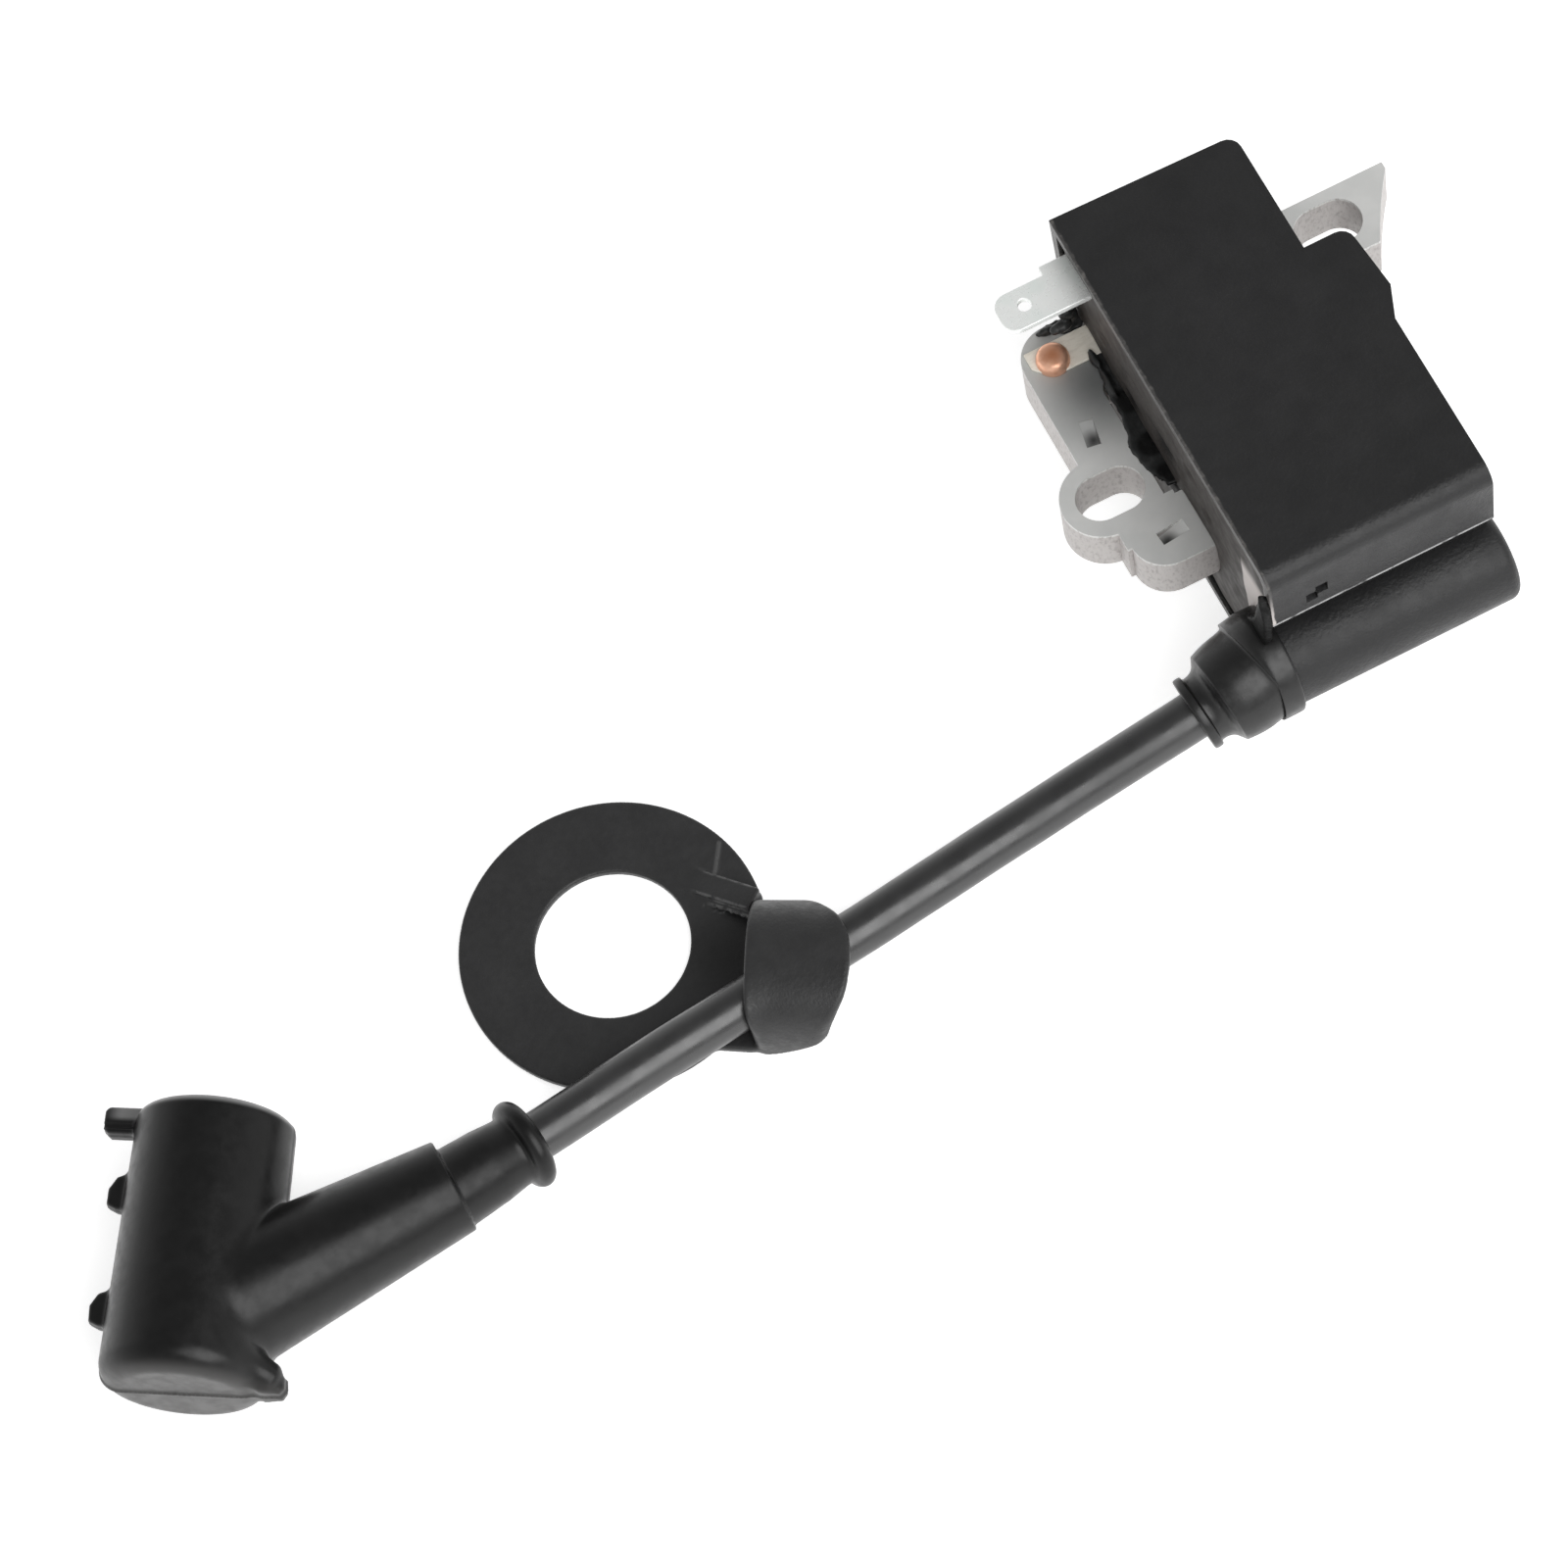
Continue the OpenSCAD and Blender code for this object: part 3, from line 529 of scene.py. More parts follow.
# Half its section: distance along the lead from the grommet's ridge, and radius
GROMMET = [
    (-2.5, LEAD_R), (-2.5, 5.95), (-2.3, 6.2), (-1.2, 6.22), (-0.35, 6.24), (0.05, 6.2), (0.12, 5.95),
    (0.35, 5.8), (0.9, 5.72), (1.6, 5.7), (2.6, 5.7), (3.6, 5.62), (4.4, 5.48), (4.95, 5.36),
    (5.3, 5.28), (5.42, 5.02), (5.6, 4.75), (5.85, 4.35), (6.2, 4.02), (6.7, 3.84), (7.2, 3.8),
    (7.45, 3.86), (7.5, 4.14), (7.62, 4.24), (8.0, 4.27), (8.4, 4.22), (8.5, 4.05), (8.52, 3.3),
    (8.4, 2.95), (8.0, LEAD_R),
]
lead_line = smooth_line(LEAD_ROUTE)


def on_lead(s):
    """Place and direction on the lead, s mm from the grommet's ridge."""
    if s <= 0:
        return np.array([RIDGE_X - s, TOWER[1], TOWER[2]]), np.array([-1.0, 0, 0])
    line = lead_line[lead_line[:, 0] < RIDGE_X]
    line = np.vstack([(RIDGE_X, TOWER[1], TOWER[2]), line])
    steps = length(np.diff(line, axis=0))
    distance = np.concatenate([[0], np.cumsum(steps)])
    centre, ahead, behind = (
        np.array([np.interp(at, distance, line[:, k]) for k in range(3)]) for at in (s, s + 1.5, s - 1.5)
    )
    return centre, unit(ahead - behind)


def add_grommet():
    """The rubber grommet, turned round the lead's own drooping path."""
    points, faces = sweep(soften(GROMMET), on_lead, 96)
    return make("grommet", points, faces, COIL, ["tower_grommet"])


# ---------------------------------------------------------------- guide ring


def turned(p, at, angle):
    """Points as seen from a frame at a place, turned about Z."""
    d = p - at
    c, s = math.cos(angle), math.sin(angle)
    return np.stack([d[:, 0] * c + d[:, 1] * s, d[:, 1] * c - d[:, 0] * s, d[:, 2]], -1)


def turned_back(points, at, angle):
    """Points of such a turned frame, as seen from the part's frame."""
    p = np.asarray(points, float)
    c, s = math.cos(angle), math.sin(angle)
    return np.stack([p[:, 0] * c - p[:, 1] * s, p[:, 0] * s + p[:, 1] * c, p[:, 2]], -1) + at


def lead_distance(p, first, last):
    """Distance from the lead's centre line, between two points of its route."""
    nearest = np.full(len(p), 1e9)
    for a, b in zip(LEAD_ROUTE[first:last], LEAD_ROUTE[first + 1:last + 1]):
        d, e = p - a, b - a
        h = np.clip(d @ e / (e @ e), 0, 1)
        nearest = np.minimum(nearest, length(d - h[:, None] * e))
    return nearest


# The ring, and in its frame the strap's middle line, height, thickness and outline from above
RING_T = 1.0
RING_MID_R = 12.5
RING_HALF_W = 4.1
STRAP_Y = -3.4
STRAP_H = 8.1
STRAP_T = 1.0
STRAP_PLAN = [
    (15.3, 5.2), (15.3, -9.6), (15.8, -11.3), (17.2, -12.6), (19.5, -13), (22.4, -12.4), (24.6, -10.8),
    (26.1, -8.2), (26.5, -4.4), (26.1, -1.5), (24.9, 0.7), (22.3, 3.3), (19.5, 4.9), (17, 5.5),
]
# Half the strap's width on its near side and on its far side, and each side's shape: 2 is an ellipse,
# and more is squarer
STRAP_NEAR = (8.3, 3.2)
STRAP_FAR = (7.5, 2.2)
# The strap's narrow foot: its edge at the table, how far the edge moves out above it, and up to what height
FOOT_X = 16.9
FOOT_GAIN = 9.9
FOOT_H = 6
STRAP_PLAY = 0.58
# Stretch of the lead's route that runs under the strap, as point numbers
UNDER_STRAP = (12, 18)
# Top of the rib at its two ends, in the ring's frame
RIB = [(7.2, 7.9, 0.9), (15.6, 4.3, 3.0)]
RIB_HALF_W = 1.35
# Outline of the web and the two ends of the flash line, from above
WEB = [(-84.5, -26.3), (-82.6, -27.75), (-80.1, -29.35), (-77.5, -30.55), (-75.5, -30.6), (-74.6, -29),
       (-79, -26), (-83, -24)]
FLASH = [(-72.7, -6.5), (-74.9, -9.9)]


def strap_field(p, x, y, z):
    """The strap: a shell on an arch, squarer on the near side, where the lead passes."""
    near = y < STRAP_Y
    half, power = (np.where(near, *pair) for pair in zip(STRAP_NEAR, STRAP_FAR))
    u, v = np.abs(y - STRAP_Y) / half + 1e-6, np.abs(z) / STRAP_H + 1e-6
    whole = (u**power + v**power) ** (1 / power)
    slope = np.hypot(u ** (power - 1) / half, v ** (power - 1) / STRAP_H) * whole ** (1 - power)
    arch = (whole - 1) / slope
    arch = either(arch, lead_distance(p, *UNDER_STRAP) - (LEAD_R + STRAP_PLAY), 0.8)
    shell = np.abs(arch) - STRAP_T / 2
    gain = FOOT_GAIN * np.clip(z / FOOT_H, 0, 1) ** 0.6
    foot = np.where(y < -6, x - FOOT_X - gain, -5) * 0.6
    edge = np.maximum(outline(x, y, soften(STRAP_PLAN)), foot)
    return both(both(shell, edge, 0.35), -z, 0.2)


def rib_field(x, y, z):
    """The far rib: a sloping beam on edge, with a torn ledge along one side."""
    (ax, ay, az), (bx, by, bz) = RIB
    along = np.array([bx - ax, by - ay])
    reach = np.linalg.norm(along)
    along = along / reach
    t = (x - ax) * along[0] + (y - ay) * along[1]
    off = (y - ay) * along[0] - (x - ax) * along[1]
    top = z - (az + (bz - az) * np.clip(t / reach, -0.2, 1.1))
    torn = 0.12 * np.sin(5.3 * t + 1.6 * np.sin(3.7 * t))
    rib = both(both(np.abs(off) - RIB_HALF_W, np.maximum(-t - 0.6, t - reach + 0.5), 0.2),
               np.maximum(top, -z), 0.15)
    ledge = both(both(np.abs(off + 1.3) - 0.75 + torn, np.maximum(2.6 - t, t - reach), 0.1),
                 np.abs(top + 0.75) - 0.22, 0.1)
    return np.minimum(rib, ledge)


def ring_field(p):
    """Flat ring with a thin flash line, and a rib and a web that carry the strap over the lead."""
    x, y, z = turned(p, RING_AT, RING_TURN).T
    flat = np.abs(z - RING_T / 2) - RING_T / 2
    disc = both(np.abs(np.hypot(x, y) - RING_MID_R) - RING_HALF_W, flat, 0.22)
    web = both(outline(p[:, 0], p[:, 1], WEB) - 0.3, flat, 0.22)
    flash = cone(p, (*FLASH[0], RING_T), (*FLASH[1], RING_T), 0.2, 0.26, 0.05)
    value = either(either(disc, rib_field(x, y, z), 0.5), web, 0.5)
    return either(either(value, strap_field(p, x, y, z), 0.4), flash, 0.2)


# ---------------------------------------------------------------- plug boot

# The sleeve's two ends with their radii, and the cuff with its bead
SLEEVE_ROOT = np.array([-141, -32.3, BARREL_R])
SLEEVE_STEP = np.array([-114.4, -31.75, BARREL_R])
SLEEVE_ROOT_R = 7.4
SLEEVE_STEP_R = 5.1
CUFF_FROM = LEAD_ROUTE[-1]
CUFF_ALONG = unit(LEAD_ROUTE[-5] - LEAD_ROUTE[-1])
BEAD_AT = 17.5
CUFF_R = 3.85
BEAD_R = 1.15
# Outlines of the tabs in the barrel's frame, which starts at the mouth
BLOCK = [(-0.7, -6), (-0.7, -11.4), (-0.2, -11.9), (1.9, -11.9), (2.4, -11.3), (2.4, -6)]
LUGS = [
    [(6.4, -6), (6.4, -8.2), (7.0, -9.7), (8.4, -10.5), (10.2, -10.5), (10.7, -9.4), (10.9, -6)],
    [(19.2, -6), (19.2, -8.4), (19.8, -10.0), (21.2, -10.8), (23.0, -10.7), (23.5, -9.6), (23.7, -6)],
]
TAIL = [(25.4, 4), (26.0, 6.6), (26.9, 9.0), (28.1, 10.9), (29.3, 11.0), (30.0, 10.5), (30.0, 8.4),
        (28.8, 5.5), (27, 4)]
TAIL_TIP_Y = 11
# Radius of the bore for the plug and of the spring's chamber behind it, and how far in each one reaches
PLUG_BORE_R, PLUG_BORE_L = 5.4, 11
CHAMBER_R, CHAMBER_L = 4.8, 25
LEAD_PLAY = 0.06


def barrel_field(x, rho):
    """The barrel: a little wider at its closed end, with round edges."""
    side = rho - (MOUTH_R + 0.55 * np.clip(x / BARREL_L, 0, 1))
    return np.maximum(both(side, -x, 1.2), both(side, x - BARREL_L, 2.6))


def cuff_field(t, off):
    """The thin cuff on the lead, at t mm along it and off its middle, with a rolled bead."""
    neck = off - np.interp(t, [0, 8, 13, 15.6, BEAD_AT + 1.2], [3.6, 4.4, 4.15, CUFF_R, 3.8])
    cuff = both(neck, np.maximum(-t, t - BEAD_AT - 0.9), 0.3)
    bead = np.hypot(t - BEAD_AT, off - CUFF_R) - BEAD_R
    return either(cuff, bead, 0.5)


def tab(x, y, z, corners, half):
    """A flat tab that reaches half its thickness to each side of the boot's middle plane."""
    return both(outline(x, y, corners) + 0.1, np.abs(z) - half, 0.35)


def tab_fields(x, y, z):
    """The grooved block at the mouth, two round lugs, and the tail, which thickens towards the barrel."""
    groove = np.hypot(x - 1.5, z - 1.35) - 0.35
    block = less(tab(x, y, z, BLOCK, 1.3), groove, 0.15)
    lugs = [tab(x, y, z, corners, 1.1) for corners in LUGS]
    tail = tab(x, y, z, TAIL, 1.2 + 0.38 * np.clip(TAIL_TIP_Y - y, 0, 7))
    return [block, *lugs, tail]


def boot_field(p):
    """Elbow boot: barrel, sleeve, cuff with a bead, pull tabs, and the bores inside."""
    q = turned(p, MOUTH_AT, BARREL_TURN)
    x, y, z = q.T
    rho = np.hypot(y, z)
    d = p - CUFF_FROM
    t = d @ CUFF_ALONG
    off = length(d - t[:, None] * CUFF_ALONG)
    sleeve = cone(p, SLEEVE_ROOT, SLEEVE_STEP, SLEEVE_ROOT_R, SLEEVE_STEP_R, 0.25)
    body = either(barrel_field(x, rho), sleeve, 0.7)
    body = either(body, cuff_field(t, off), 0.12)
    for part in tab_fields(x, y, z):
        body = either(body, part, 0.7)
    wing = cone(q, (26.2, 5.0, 4.2), (28.5, 9.8, 0.8), 1.7, 1.6, 0.8)
    body = either(body, wing, 0.9)
    # Parting line of the mould, plainest round the closed end
    line = np.exp(-((z / 0.28) ** 2)) * (0.08 + 0.14 * np.clip((x - 27) / 2, 0, 1))
    body = body - line * (off > 5.5)
    mouth = both(rho - PLUG_BORE_R, x - PLUG_BORE_L, 0.3)
    chamber = both(rho - CHAMBER_R, x - CHAMBER_L, 0.3)
    lead_bore = both(off - (LEAD_R + LEAD_PLAY), -t, 0.1)
    return less(less(body, np.minimum(mouth, chamber), 0.35), lead_bore, 0.15)


def add_tube(name, line, radius, body, replaced, sides):
    """A round bar or wire along a line of points in mm, with flat ends."""
    ahead = np.gradient(line, axis=0)
    side = unit(np.cross(ahead[0], (0.1, 0.2, 1)))
    points = []
    for centre, along in zip(line, ahead):
        along = unit(along)
        side = unit(side - along * (side @ along))
        points += circle(centre, side, np.cross(along, side), radius, sides)
    last = (len(line) - 1) * sides
    ends = [tuple(range(sides)), tuple(range(last, last + sides))]
    return make(name, points, wall(len(line), sides) + ends, body, replaced)


def add_spring():
    """Contact spring: four turns of wire and a tail to the lead's end."""
    turns, pitch, start, radius, wire_r = 4, 2.2, 12, 3.9, 0.45
    steps = 16
    coil = []
    for i in range(turns * steps + 1):
        a = 2 * math.pi * i / steps
        coil.append((start + pitch * i / steps, radius * math.cos(a), radius * math.sin(a)))
    coil = smooth_line(turned_back(coil, MOUTH_AT, BARREL_TURN), 2)
    bend, end = CUFF_FROM - 4.1 * CUFF_ALONG, CUFF_FROM + 0.1 * CUFF_ALONG
    route = np.vstack([coil, np.linspace(coil[-1], bend, 8)[1:], np.linspace(bend, end, 4)[1:]])
    return add_tube("plug_spring", route, wire_r, BOOT, ["contact_spring"], 12)


# ---------------------------------------------------------------- build the pieces

cup = add_cup()
core = add_core()
rivet = add_rivet()
strap = add_strap()
blade = add_blade()
resin = add_resin()
grommet = add_grommet()
bits = solid("resin_bits", bits_field, *BITS_BOX, 0.22, COIL, "resin")
spur = solid("resin_spur", spur_field, *SPUR_BOX, 0.2, COIL, "resin")
ring = solid("ring_and_strap", ring_field, *room("guide_ring"), 0.2, RING, "ring_rubber", ["guide_ring"])
boot = solid("elbow_boot", boot_field, *room("plug_boot"), 0.26, BOOT, "boot_rubber", ["plug_boot"])
spring = add_spring()
lead_path = smooth_line(LEAD_ROUTE, 4)
lead = add_tube("lead", lead_path, LEAD_R, COIL, ["ht_lead"], 40)

# ---------------------------------------------------------------- materials


class Paint:
    """A procedural material, built node by node on the piece's own coordinates."""

    def __init__(self, name, rough, metal=0.0, ior=1.5, shine=0.5):
        self.material = bpy.data.materials.new(name)
        self.material.use_nodes = True
        self.tree = self.material.node_tree
        self.shader = self.tree.nodes["Principled BSDF"]
        self.shader.inputs["Roughness"].default_value = rough
        self.shader.inputs["Metallic"].default_value = metal
        self.shader.inputs["IOR"].default_value = ior
        self.shader.inputs["Specular IOR Level"].default_value = shine
        self.coords = self.tree.nodes.new("ShaderNodeTexCoord").outputs["Object"]
        self.colour = None
        self.height = None

    def node(self, kind, inputs=(), **settings):
        """A shader node, with settings, whose inputs are linked to sockets or set to values."""
        made = self.tree.nodes.new("ShaderNode" + kind)
        for key, value in settings.items():
            setattr(made, key, value)
        for key, value in dict(inputs).items():
            if isinstance(value, bpy.types.NodeSocket):
                self.tree.links.new(value, made.inputs[key])
            else:
                made.inputs[key].default_value = value
        return made

    def noise(self, size, detail=3.0, rough=0.55, stretch=(1, 1, 1)):
        """Noise whose cells are about size mm across."""
        mapping = self.node("Mapping", {"Vector": self.coords, "Scale": stretch})
        made = self.node("TexNoise", {
            "Vector": mapping.outputs[0], "Scale": 1 / (size * MM), "Detail": detail, "Roughness": rough,
        })
        return made.outputs["Fac"]

    def spread(self, value, low, high, to_low=0.0, to_high=1.0):
        """Maps a range of a value to another, with soft ends."""
        made = self.node("MapRange", {
            "Value": value, "From Min": low, "From Max": high, "To Min": to_low, "To Max": to_high,
        }, interpolation_type="SMOOTHSTEP")
        return made.outputs[0]

    def math(self, operation, a, b):
        return self.node("Math", {0: a, 1: b}, operation=operation).outputs[0]

    def base(self, colour):
        self.colour = self.node("RGB").outputs[0]
        self.colour.default_value = (*colour, 1)
        return self

    def tint(self, mask, colour):
        """Lays a colour over what is there, where the mask is 1."""
        mix = self.node("Mix", data_type="RGBA")
        self.tree.links.new(mask, mix.inputs[0])
        self.tree.links.new(self.colour, mix.inputs[6])
        mix.inputs[7].default_value = (*colour, 1)
        self.colour = mix.outputs[2]
        return self

    def axis(self, name):
        """One coordinate of the piece, in mm."""
        split = self.node("SeparateXYZ", {0: self.coords})
        return self.math("MULTIPLY", split.outputs[name], 1000.0)

    def upward(self):
        """How far the surface faces up, from -1 to 1."""
        made = self.node("NewGeometry")
        return self.node("SeparateXYZ", {0: made.outputs["Normal"]}).outputs["Z"]

    def near(self, centre, reach):
        """1 at a point, falling to 0 at reach mm from it."""
        made = self.node("VectorMath", {0: self.coords, 1: Vector(centre) * MM}, operation="DISTANCE")
        return self.spread(made.outputs["Value"], reach * MM, 0.0)

    def along(self, direction, start):
        """Distance in mm from a start along a direction."""
        made = self.node("VectorMath", {0: self.coords, 1: unit(direction)}, operation="DOT_PRODUCT")
        far = self.math("MULTIPLY", made.outputs["Value"], 1000.0)
        return self.math("SUBTRACT", far, float(np.dot(unit(direction), start)))

    def line(self, start, end, half):
        """1 on a straight line seen from above, falling to 0 at half mm to each side of it."""
        start, end = (np.array([*point[:2], 0.0]) for point in (start, end))
        ahead = self.along(end - start, start)
        aside = self.math("ABSOLUTE", self.along(np.cross((0, 0, 1), end - start), start), 0.0)
        reach = float(np.linalg.norm(end - start))
        inside = self.math("MULTIPLY", self.spread(ahead, -0.3, 0.2),
                           self.spread(ahead, reach + 0.3, reach - 0.2))
        return self.math("MULTIPLY", self.spread(aside, half, 0.3 * half), inside)

    def roughness(self, mask, low, high):
        """Roughness that a mask varies from low to high."""
        made = self.spread(mask, 0.3, 0.7, low, high)
        self.tree.links.new(made, self.shader.inputs["Roughness"])
        return self

    def bump(self, height, depth):
        """Relief of about depth mm; calls add up."""
        made = self.node("Bump", {"Height": height, "Strength": 1.0, "Distance": depth * MM})
        if self.height is not None:
            self.tree.links.new(self.height, made.inputs["Normal"])
        self.height = made.outputs[0]
        return self

    def done(self):
        """The finished material."""
        self.tree.links.new(self.colour, self.shader.inputs["Base Color"])
        if self.height is not None:
            self.tree.links.new(self.height, self.shader.inputs["Normal"])
        return self.material


def cup_plastic():
    """Black moulded plastic: fine mottle, a grey rim paling downwards in a painted reflection, and a
    painted highlight on a worn lower edge.
    """
    p = Paint("cup_plastic", 0.45, shine=0.4).base((0.013, 0.013, 0.0135))
    p.tint(p.spread(p.noise(9, 4), 0.3, 0.8), (0.0175, 0.0175, 0.018))
    lean = p.math("MULTIPLY", p.axis("Z"), 0.7 / TOP_Z)
    edge = p.math("ADD", p.math("ADD", p.axis("X"), lean), p.math("MULTIPLY", p.noise(1.2, 4), 0.5))
    rim = p.spread(edge, MOUTH_X + 1.35, MOUTH_X + 1.15)
    p.tint(rim, (0.05, 0.048, 0.047))
    p.tint(p.math("MULTIPLY", rim, p.spread(p.noise(0.9, 4), 0.45, 0.7)), (0.11, 0.105, 0.10))
    # Painted reflection: the rim's lower part towards the tower is painted pale, for the bright light it
    # reflects there.
    painted_reflection = p.math("MULTIPLY", p.spread(p.axis("Z"), 29.5, 22), p.spread(p.axis("Y"), -10, -15))
    p.tint(p.math("MULTIPLY", rim, painted_reflection), (0.56, 0.52, 0.50))
    # Painted highlight: a thin pale line along the worn lower edge on the tower side, where the edge
    # catches the light.
    low = p.math("MULTIPLY", p.spread(p.axis("Z"), 22.25, 22.0), p.spread(p.axis("Y"), -21.6, -21.8))
    worn_edge_highlight = p.math("MULTIPLY", low, p.spread(p.axis("Z"), 21.4, 21.6))
    p.tint(p.math("MULTIPLY", worn_edge_highlight, p.spread(p.noise(1.5, 3), 0.3, 0.55)), (0.40, 0.40, 0.40))
    p.roughness(p.noise(3, 4), 0.38, 0.5)
    return p.bump(p.noise(0.5, 4, 0.65), 0.09).bump(p.noise(2.2, 2), 0.03).done()


def cured_resin():
    """Potting resin: a dull grey-brown face with black dents, and a painted reflection as a pale lip at the
    tower's end.
    """
    p = Paint("potting", 0.5, shine=0.12).base((0.05, 0.045, 0.042))
    p.tint(p.spread(p.noise(3.5, 4), 0.45, 0.8), (0.03, 0.027, 0.025))
    for y, z, ry, rz in DENTS[:3]:
        p.tint(p.near((MOUTH_X + 0.8, y, z), 0.8 * (ry + rz)), (0.004, 0.004, 0.004))
    # Painted reflection: a pale patch on the face at the tower's end, for the bright light reflected there.
    painted_reflection = p.math("MULTIPLY", p.spread(p.axis("Y"), -14.2, -14.6), p.spread(p.axis("Z"), 25, 22))
    p.tint(painted_reflection, (0.58, 0.54, 0.52))
    p.roughness(p.noise(1.8, 3), 0.45, 0.6)
    return p.bump(p.noise(1.1, 2), 0.005).done()


def crept_resin():
    """Thin dark resin where it ran over its neighbours, with three black hollows."""
    p = Paint("resin_film", 0.4, shine=0.35).base((0.018, 0.019, 0.019))
    p.tint(p.spread(p.noise(1.3, 4), 0.45, 0.7), (0.04, 0.041, 0.041))
    for y in (12.8, 7, 2.8):
        p.tint(p.spread(p.near((-12.8, y, CORE_TOP + 0.3), 2.4), 0.1, 0.5), (0.002, 0.002, 0.002))
    p.roughness(p.noise(1, 3), 0.3, 0.5)
    return p.bump(p.noise(0.7, 3), 0.05).done()


def sheet_steel():
    """Light grey sheet: a top with painted shade by the strap, interlocks with floors painted black as
    shade, and pinkish, streaked sides.
    """
    p = Paint("sheet_steel", 0.5, metal=0.15, ior=1.6).base((0.66, 0.665, 0.65))
    p.tint(p.spread(p.noise(5, 3), 0.35, 0.7), (0.72, 0.72, 0.705))
    # Painted shade: the top darkens round the strap and the cup's mouth.
    p.tint(p.near((-14, 16.5, CORE_TOP), 11), (0.15, 0.155, 0.155))
    # Painted shade: the sunk floors of the interlocks are painted black.
    for x, y in LOCK_MIDDLES:
        floor = p.near((x, y, CORE_TOP - 0.7), 1.7)
        sunk = p.spread(p.axis("Z"), CORE_TOP - 0.2, CORE_TOP - 0.45)
        p.tint(p.math("MULTIPLY", floor, sunk), (0.006, 0.006, 0.006))
    side = p.spread(p.math("ABSOLUTE", p.upward(), 0.0), 0.75, 0.45)
    grain = p.noise(0.4, 4, 0.6, (1, 1, 0.5))
    below_top = p.spread(p.axis("Z"), CORE_TOP - 0.3, CORE_TOP - 0.5)
    p.tint(p.math("MULTIPLY", side, below_top), (0.50, 0.475, 0.46))
    streak = p.math("MULTIPLY", side, p.spread(grain, 0.45, 0.75))
    p.tint(streak, (0.33, 0.305, 0.295))
    p.roughness(p.noise(1.2, 4), 0.42, 0.56)
    return p.bump(p.math("MULTIPLY", grain, side), 0.04).bump(p.noise(0.35, 2), 0.008).done()


def copper():
    """Copper-plated rivet: warm and uneven, browner on top and greyer below."""
    p = Paint("copper", 0.4, metal=0.7).base((0.95, 0.55, 0.38))
    p.tint(p.spread(p.noise(0.9, 4), 0.4, 0.7), (0.82, 0.42, 0.27))
    p.tint(p.near((*RIVET[:2], CORE_TOP + 1.9), 1.6), (0.66, 0.27, 0.14))
    p.tint(p.spread(p.axis("Z"), CORE_TOP + 0.2, CORE_TOP - 0.1), (0.6, 0.5, 0.44))
    p.roughness(p.noise(0.6, 4), 0.36, 0.5)
    return p.bump(p.noise(0.4, 3), 0.02).done()


def tinned():
    """Dull warm tin with a brushed grain, and painted shade where it runs in under the cup towards the
    resin.
    """
    p = Paint("tinned", 0.45).base((0.93, 0.88, 0.78))
    p.tint(p.spread(p.noise(1.1, 4, 0.6, (1, 3, 1)), 0.45, 0.7), (0.84, 0.79, 0.69))
    # Painted shade: the strap darkens from where it runs in under the cup.
    p.tint(p.spread(p.axis("X"), -12, -9), (0.13, 0.11, 0.09))
    p.roughness(p.noise(0.8, 4), 0.32, 0.5)
    return p.bump(p.noise(0.5, 3, 0.6, (1, 4, 1)), 0.02).done()


def bright_tin():
    """Bright plated brass, faintly green in places."""
    p = Paint("bright_tin", 0.35, metal=0.25).base((0.95, 0.97, 0.95))
    p.tint(p.spread(p.noise(2.6, 3), 0.45, 0.75), (0.88, 0.93, 0.90))
    p.roughness(p.noise(0.9, 4), 0.22, 0.38)
    return p.bump(p.noise(0.7, 3), 0.012).done()


def rubber(name, colour, paler, rough, mottle, depth, shine=0.5):
    """Black rubber: a slight bloom, fine grain and soft unevenness."""
    p = Paint(name, rough, shine=shine).base(colour)
    p.tint(p.spread(p.noise(mottle * 5, 4), 0.35, 0.75), paler)
    p.roughness(p.noise(mottle * 2, 4), rough - 0.06, rough + 0.07)
    return p.bump(p.noise(mottle, 3), depth).bump(p.noise(mottle * 6, 2), depth * 1.6).done()


def ring_rubber():
    """The ring's rubber: pale torn edges on the rib, a pale flash line, and painted shade in the corner at
    the strap.
    """
    p = Paint("ring_black", 0.46, shine=0.5).base((0.02, 0.02, 0.0205))
    p.tint(p.spread(p.noise(4, 4), 0.35, 0.75), (0.026, 0.026, 0.0265))
    # Painted shade: the disc goes black under and beside the strap.
    painted_shade_by_strap = p.math("MULTIPLY", p.near((-78.2, -19, 1), 8), p.spread(p.axis("Z"), 1.3, 1.1))
    p.tint(painted_shade_by_strap, (0.002, 0.002, 0.002))
    torn = p.spread(p.noise(0.8, 4), 0.35, 0.55)
    ends = turned_back([(x, y, 0) for x, y, _ in RIB], RING_AT, RING_TURN)
    for aside in (1.3, -1.3, -1.9):
        shift = unit(np.cross((0, 0, 1), ends[1] - ends[0])) * aside
        edge = p.math("MULTIPLY", p.line(ends[0] + shift, ends[1] + shift, 0.3), torn)
        p.tint(p.math("MULTIPLY", edge, p.spread(p.axis("Z"), 1.2, 1.5)), (0.10, 0.10, 0.10))
    p.tint(p.line(*FLASH, 0.35), (0.07, 0.07, 0.07))
    p.roughness(p.noise(0.9, 4), 0.4, 0.53)
    return p.bump(p.noise(0.4, 3), 0.05).bump(p.noise(2.4, 2), 0.05).done()


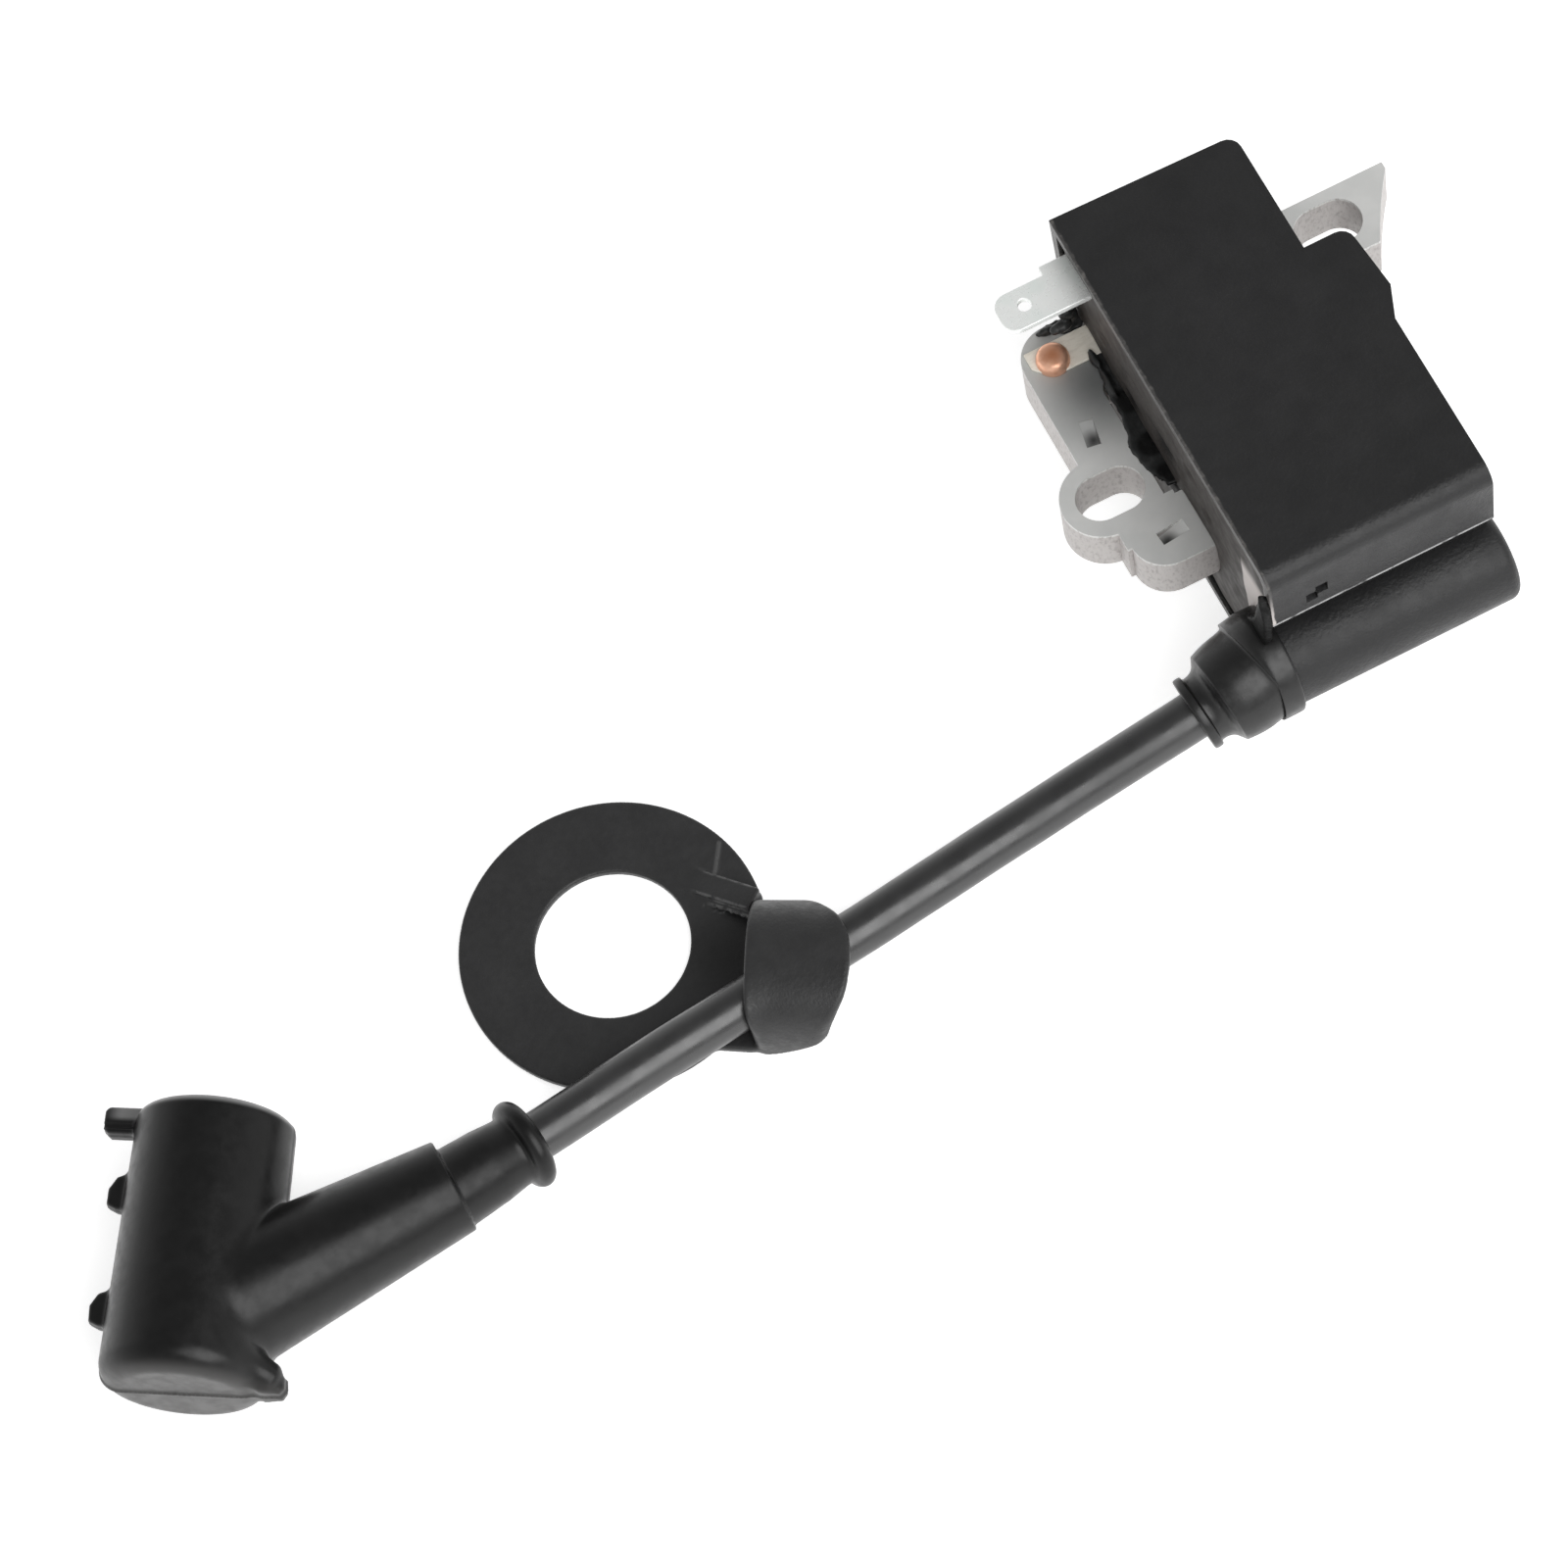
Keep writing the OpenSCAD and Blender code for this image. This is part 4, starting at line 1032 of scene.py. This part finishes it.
def boot_rubber():
    """The boot's rubber: smooth and black, with a painted reflection on the mouth's lip and a greyer closed
    end.
    """
    p = Paint("boot_black", 0.3, shine=0.36).base((0.0035, 0.0035, 0.0035))
    p.tint(p.spread(p.noise(3.5, 4), 0.35, 0.75), (0.0055, 0.0055, 0.0055))
    axis = np.array([math.cos(BARREL_TURN), math.sin(BARREL_TURN), 0])
    # Painted reflection: a pale band on the mouth's lip, for the bright room it reflects.
    edge = p.spread(p.along(axis, MOUTH_AT), 1.1, 0.4)
    p.tint(p.math("MULTIPLY", edge, p.spread(p.near(MOUTH_AT, 14), 0.05, 0.2)), (0.2, 0.2, 0.2))
    p.tint(p.spread(p.along(axis, MOUTH_AT), BARREL_L - 1.2, BARREL_L - 0.2), (0.03, 0.029, 0.028))
    p.roughness(p.noise(1.4, 4), 0.28, 0.4)
    return p.bump(p.noise(0.7, 3), 0.008).bump(p.noise(4.2, 2), 0.013).done()


def moulded(name, colour, paler, rough, metal=0.0, size=1.5):
    """A plain hidden part: two shades, uneven gloss and a fine grain."""
    p = Paint(name, rough, metal=metal).base(colour)
    p.tint(p.spread(p.noise(size, 4), 0.4, 0.7), paler)
    p.roughness(p.noise(size / 2, 3), rough - 0.05, rough + 0.08)
    return p.bump(p.noise(size / 3, 3), 0.02).done()


def wound(name, colour, paler):
    """Enamelled wire wound in tight turns."""
    p = Paint(name, 0.28, metal=0.4).base(colour)
    turns = p.node("TexWave", {"Vector": p.coords, "Scale": 1.4 / MM, "Distortion": 0.4},
                   bands_direction="X").outputs["Fac"]
    p.tint(p.spread(turns, 0.2, 0.8), paler)
    return p.bump(turns, 0.06).done()


def board_green():
    """Glass-epoxy board with tracks under the mask."""
    p = Paint("board_green", 0.35).base((0.03, 0.16, 0.07))
    tracks = p.node("TexBrick", {"Vector": p.coords, "Scale": 0.3 / MM}).outputs["Fac"]
    p.tint(tracks, (0.06, 0.26, 0.11))
    return p.bump(tracks, 0.03).done()


def coat(piece, paint):
    """Makes a material a piece's only one."""
    piece.data.materials.clear()
    piece.data.materials.append(paint)


# Materials of the CAD nodes that stay as they are
NODE_PAINT = {
    "lead_conductor": moulded("strands", (0.72, 0.40, 0.26), (0.62, 0.33, 0.20), 0.3, 0.9, 0.5),
    "primary_bobbin": moulded("nylon", (0.72, 0.68, 0.56), (0.66, 0.61, 0.49), 0.45),
    "storage_capacitor": moulded("film", (0.52, 0.31, 0.07), (0.44, 0.25, 0.05), 0.2),
    "thyristor": moulded("epoxy", (0.025, 0.025, 0.026), (0.04, 0.04, 0.04), 0.5),
    "ht_contact_pin": moulded("brass", (0.70, 0.50, 0.20), (0.60, 0.42, 0.16), 0.25, 0.9),
    "primary_winding": wound("copper_wire", (0.42, 0.16, 0.06), (0.60, 0.26, 0.10)),
    "secondary_winding": wound("fine_wire", (0.30, 0.10, 0.04), (0.42, 0.16, 0.07)),
    "circuit_board": board_green(),
}
SAME_PAINT = {
    "secondary_bobbin": "primary_bobbin", "charge_bobbin": "primary_bobbin",
    "charge_winding": "primary_winding", "control_chip": "thyristor",
    "rectifier_diodes": "thyristor", "chip_resistors": "thyristor",
}
for name, node in nodes.items():
    paint = NODE_PAINT.get(SAME_PAINT.get(name, name))
    if paint:
        coat(node, paint)

for piece, paint in (
    (cup, cup_plastic()), (core, sheet_steel()), (rivet, copper()), (strap, tinned()),
    (blade, bright_tin()), (resin, cured_resin()), (bits, crept_resin()),
    # The spur is a run of resin whose near-black colour also stands in for shade in the gap beside the
    # tower.
    (spur, rubber("drip_black_painted_shade", (0.002, 0.002, 0.002), (0.006, 0.006, 0.006), 0.5, 0.6, 0.05, 0.15)),
    (grommet, rubber("grommet_black", (0.006, 0.006, 0.006), (0.009, 0.009, 0.009), 0.33, 0.5, 0.012)),
    (ring, ring_rubber()), (boot, boot_rubber()),
    (lead, rubber("lead_black", (0.012, 0.012, 0.0125), (0.015, 0.015, 0.015), 0.32, 1.2, 0.004, 0.95)),
    (spring, moulded("spring_wire", (0.6, 0.61, 0.62), (0.5, 0.51, 0.52), 0.22, 0.9, 0.6)),
):
    coat(piece, paint)

# ---------------------------------------------------------------- stage


def add_floor():
    """A wide white sheet that glows a little, just under the part."""
    mesh = bpy.data.meshes.new("floor")
    size, drop = 1.5, -0.0002
    corners = [(x * size, y * size, drop) for x, y in ((-1, -1), (1, -1), (1, 1), (-1, 1))]
    mesh.from_pydata(corners, [], [(0, 1, 2, 3)])
    floor = bpy.data.objects.new("floor", mesh)
    bpy.context.scene.collection.objects.link(floor)
    paper = Paint("paper", 0.8, shine=0.1).base((0.88, 0.88, 0.88))
    paper.tint(paper.spread(paper.noise(40, 2), 0.3, 0.7), (0.9, 0.9, 0.9))
    paper.shader.inputs["Emission Color"].default_value = (1, 1, 1, 1)
    paper.shader.inputs["Emission Strength"].default_value = 0.62
    floor.data.materials.append(paper.done())


def area_light(name, at, size, power):
    """A soft square light that faces the part's middle."""
    middle = Vector((-0.06, -0.01, 0))
    data = bpy.data.lights.new(name, "AREA")
    data.size = size
    data.energy = power
    light = bpy.data.objects.new(name, data)
    aim = (middle - Vector(at)).to_track_quat("-Z", "Y").to_matrix().to_4x4()
    light.matrix_world = Matrix.Translation(at) @ aim
    bpy.context.scene.collection.objects.link(light)


def add_world():
    """A white room that darkens overhead, so that black tops stay black and sides catch the light."""
    world = bpy.data.worlds.new("world")
    world.use_nodes = True
    tree = world.node_tree
    background = tree.nodes["Background"]
    coords = tree.nodes.new("ShaderNodeTexCoord")
    split = tree.nodes.new("ShaderNodeSeparateXYZ")
    ramp = tree.nodes.new("ShaderNodeMapRange")
    for name, value in (("From Min", 0.1), ("From Max", 0.85), ("To Min", 0.85), ("To Max", 0.3)):
        ramp.inputs[name].default_value = value
    ramp.interpolation_type = "SMOOTHSTEP"
    tree.links.new(coords.outputs["Generated"], split.inputs[0])
    tree.links.new(split.outputs["Z"], ramp.inputs["Value"])
    tree.links.new(ramp.outputs[0], background.inputs["Strength"])
    background.inputs["Color"].default_value = (1, 1, 1, 1)
    bpy.context.scene.world = world


add_floor()
area_light("key", at=(0.12, -0.5, 0.62), size=0.7, power=5)
add_world()
bpy.context.scene.view_settings.view_transform = "Standard"

bpy.context.view_layer.update()
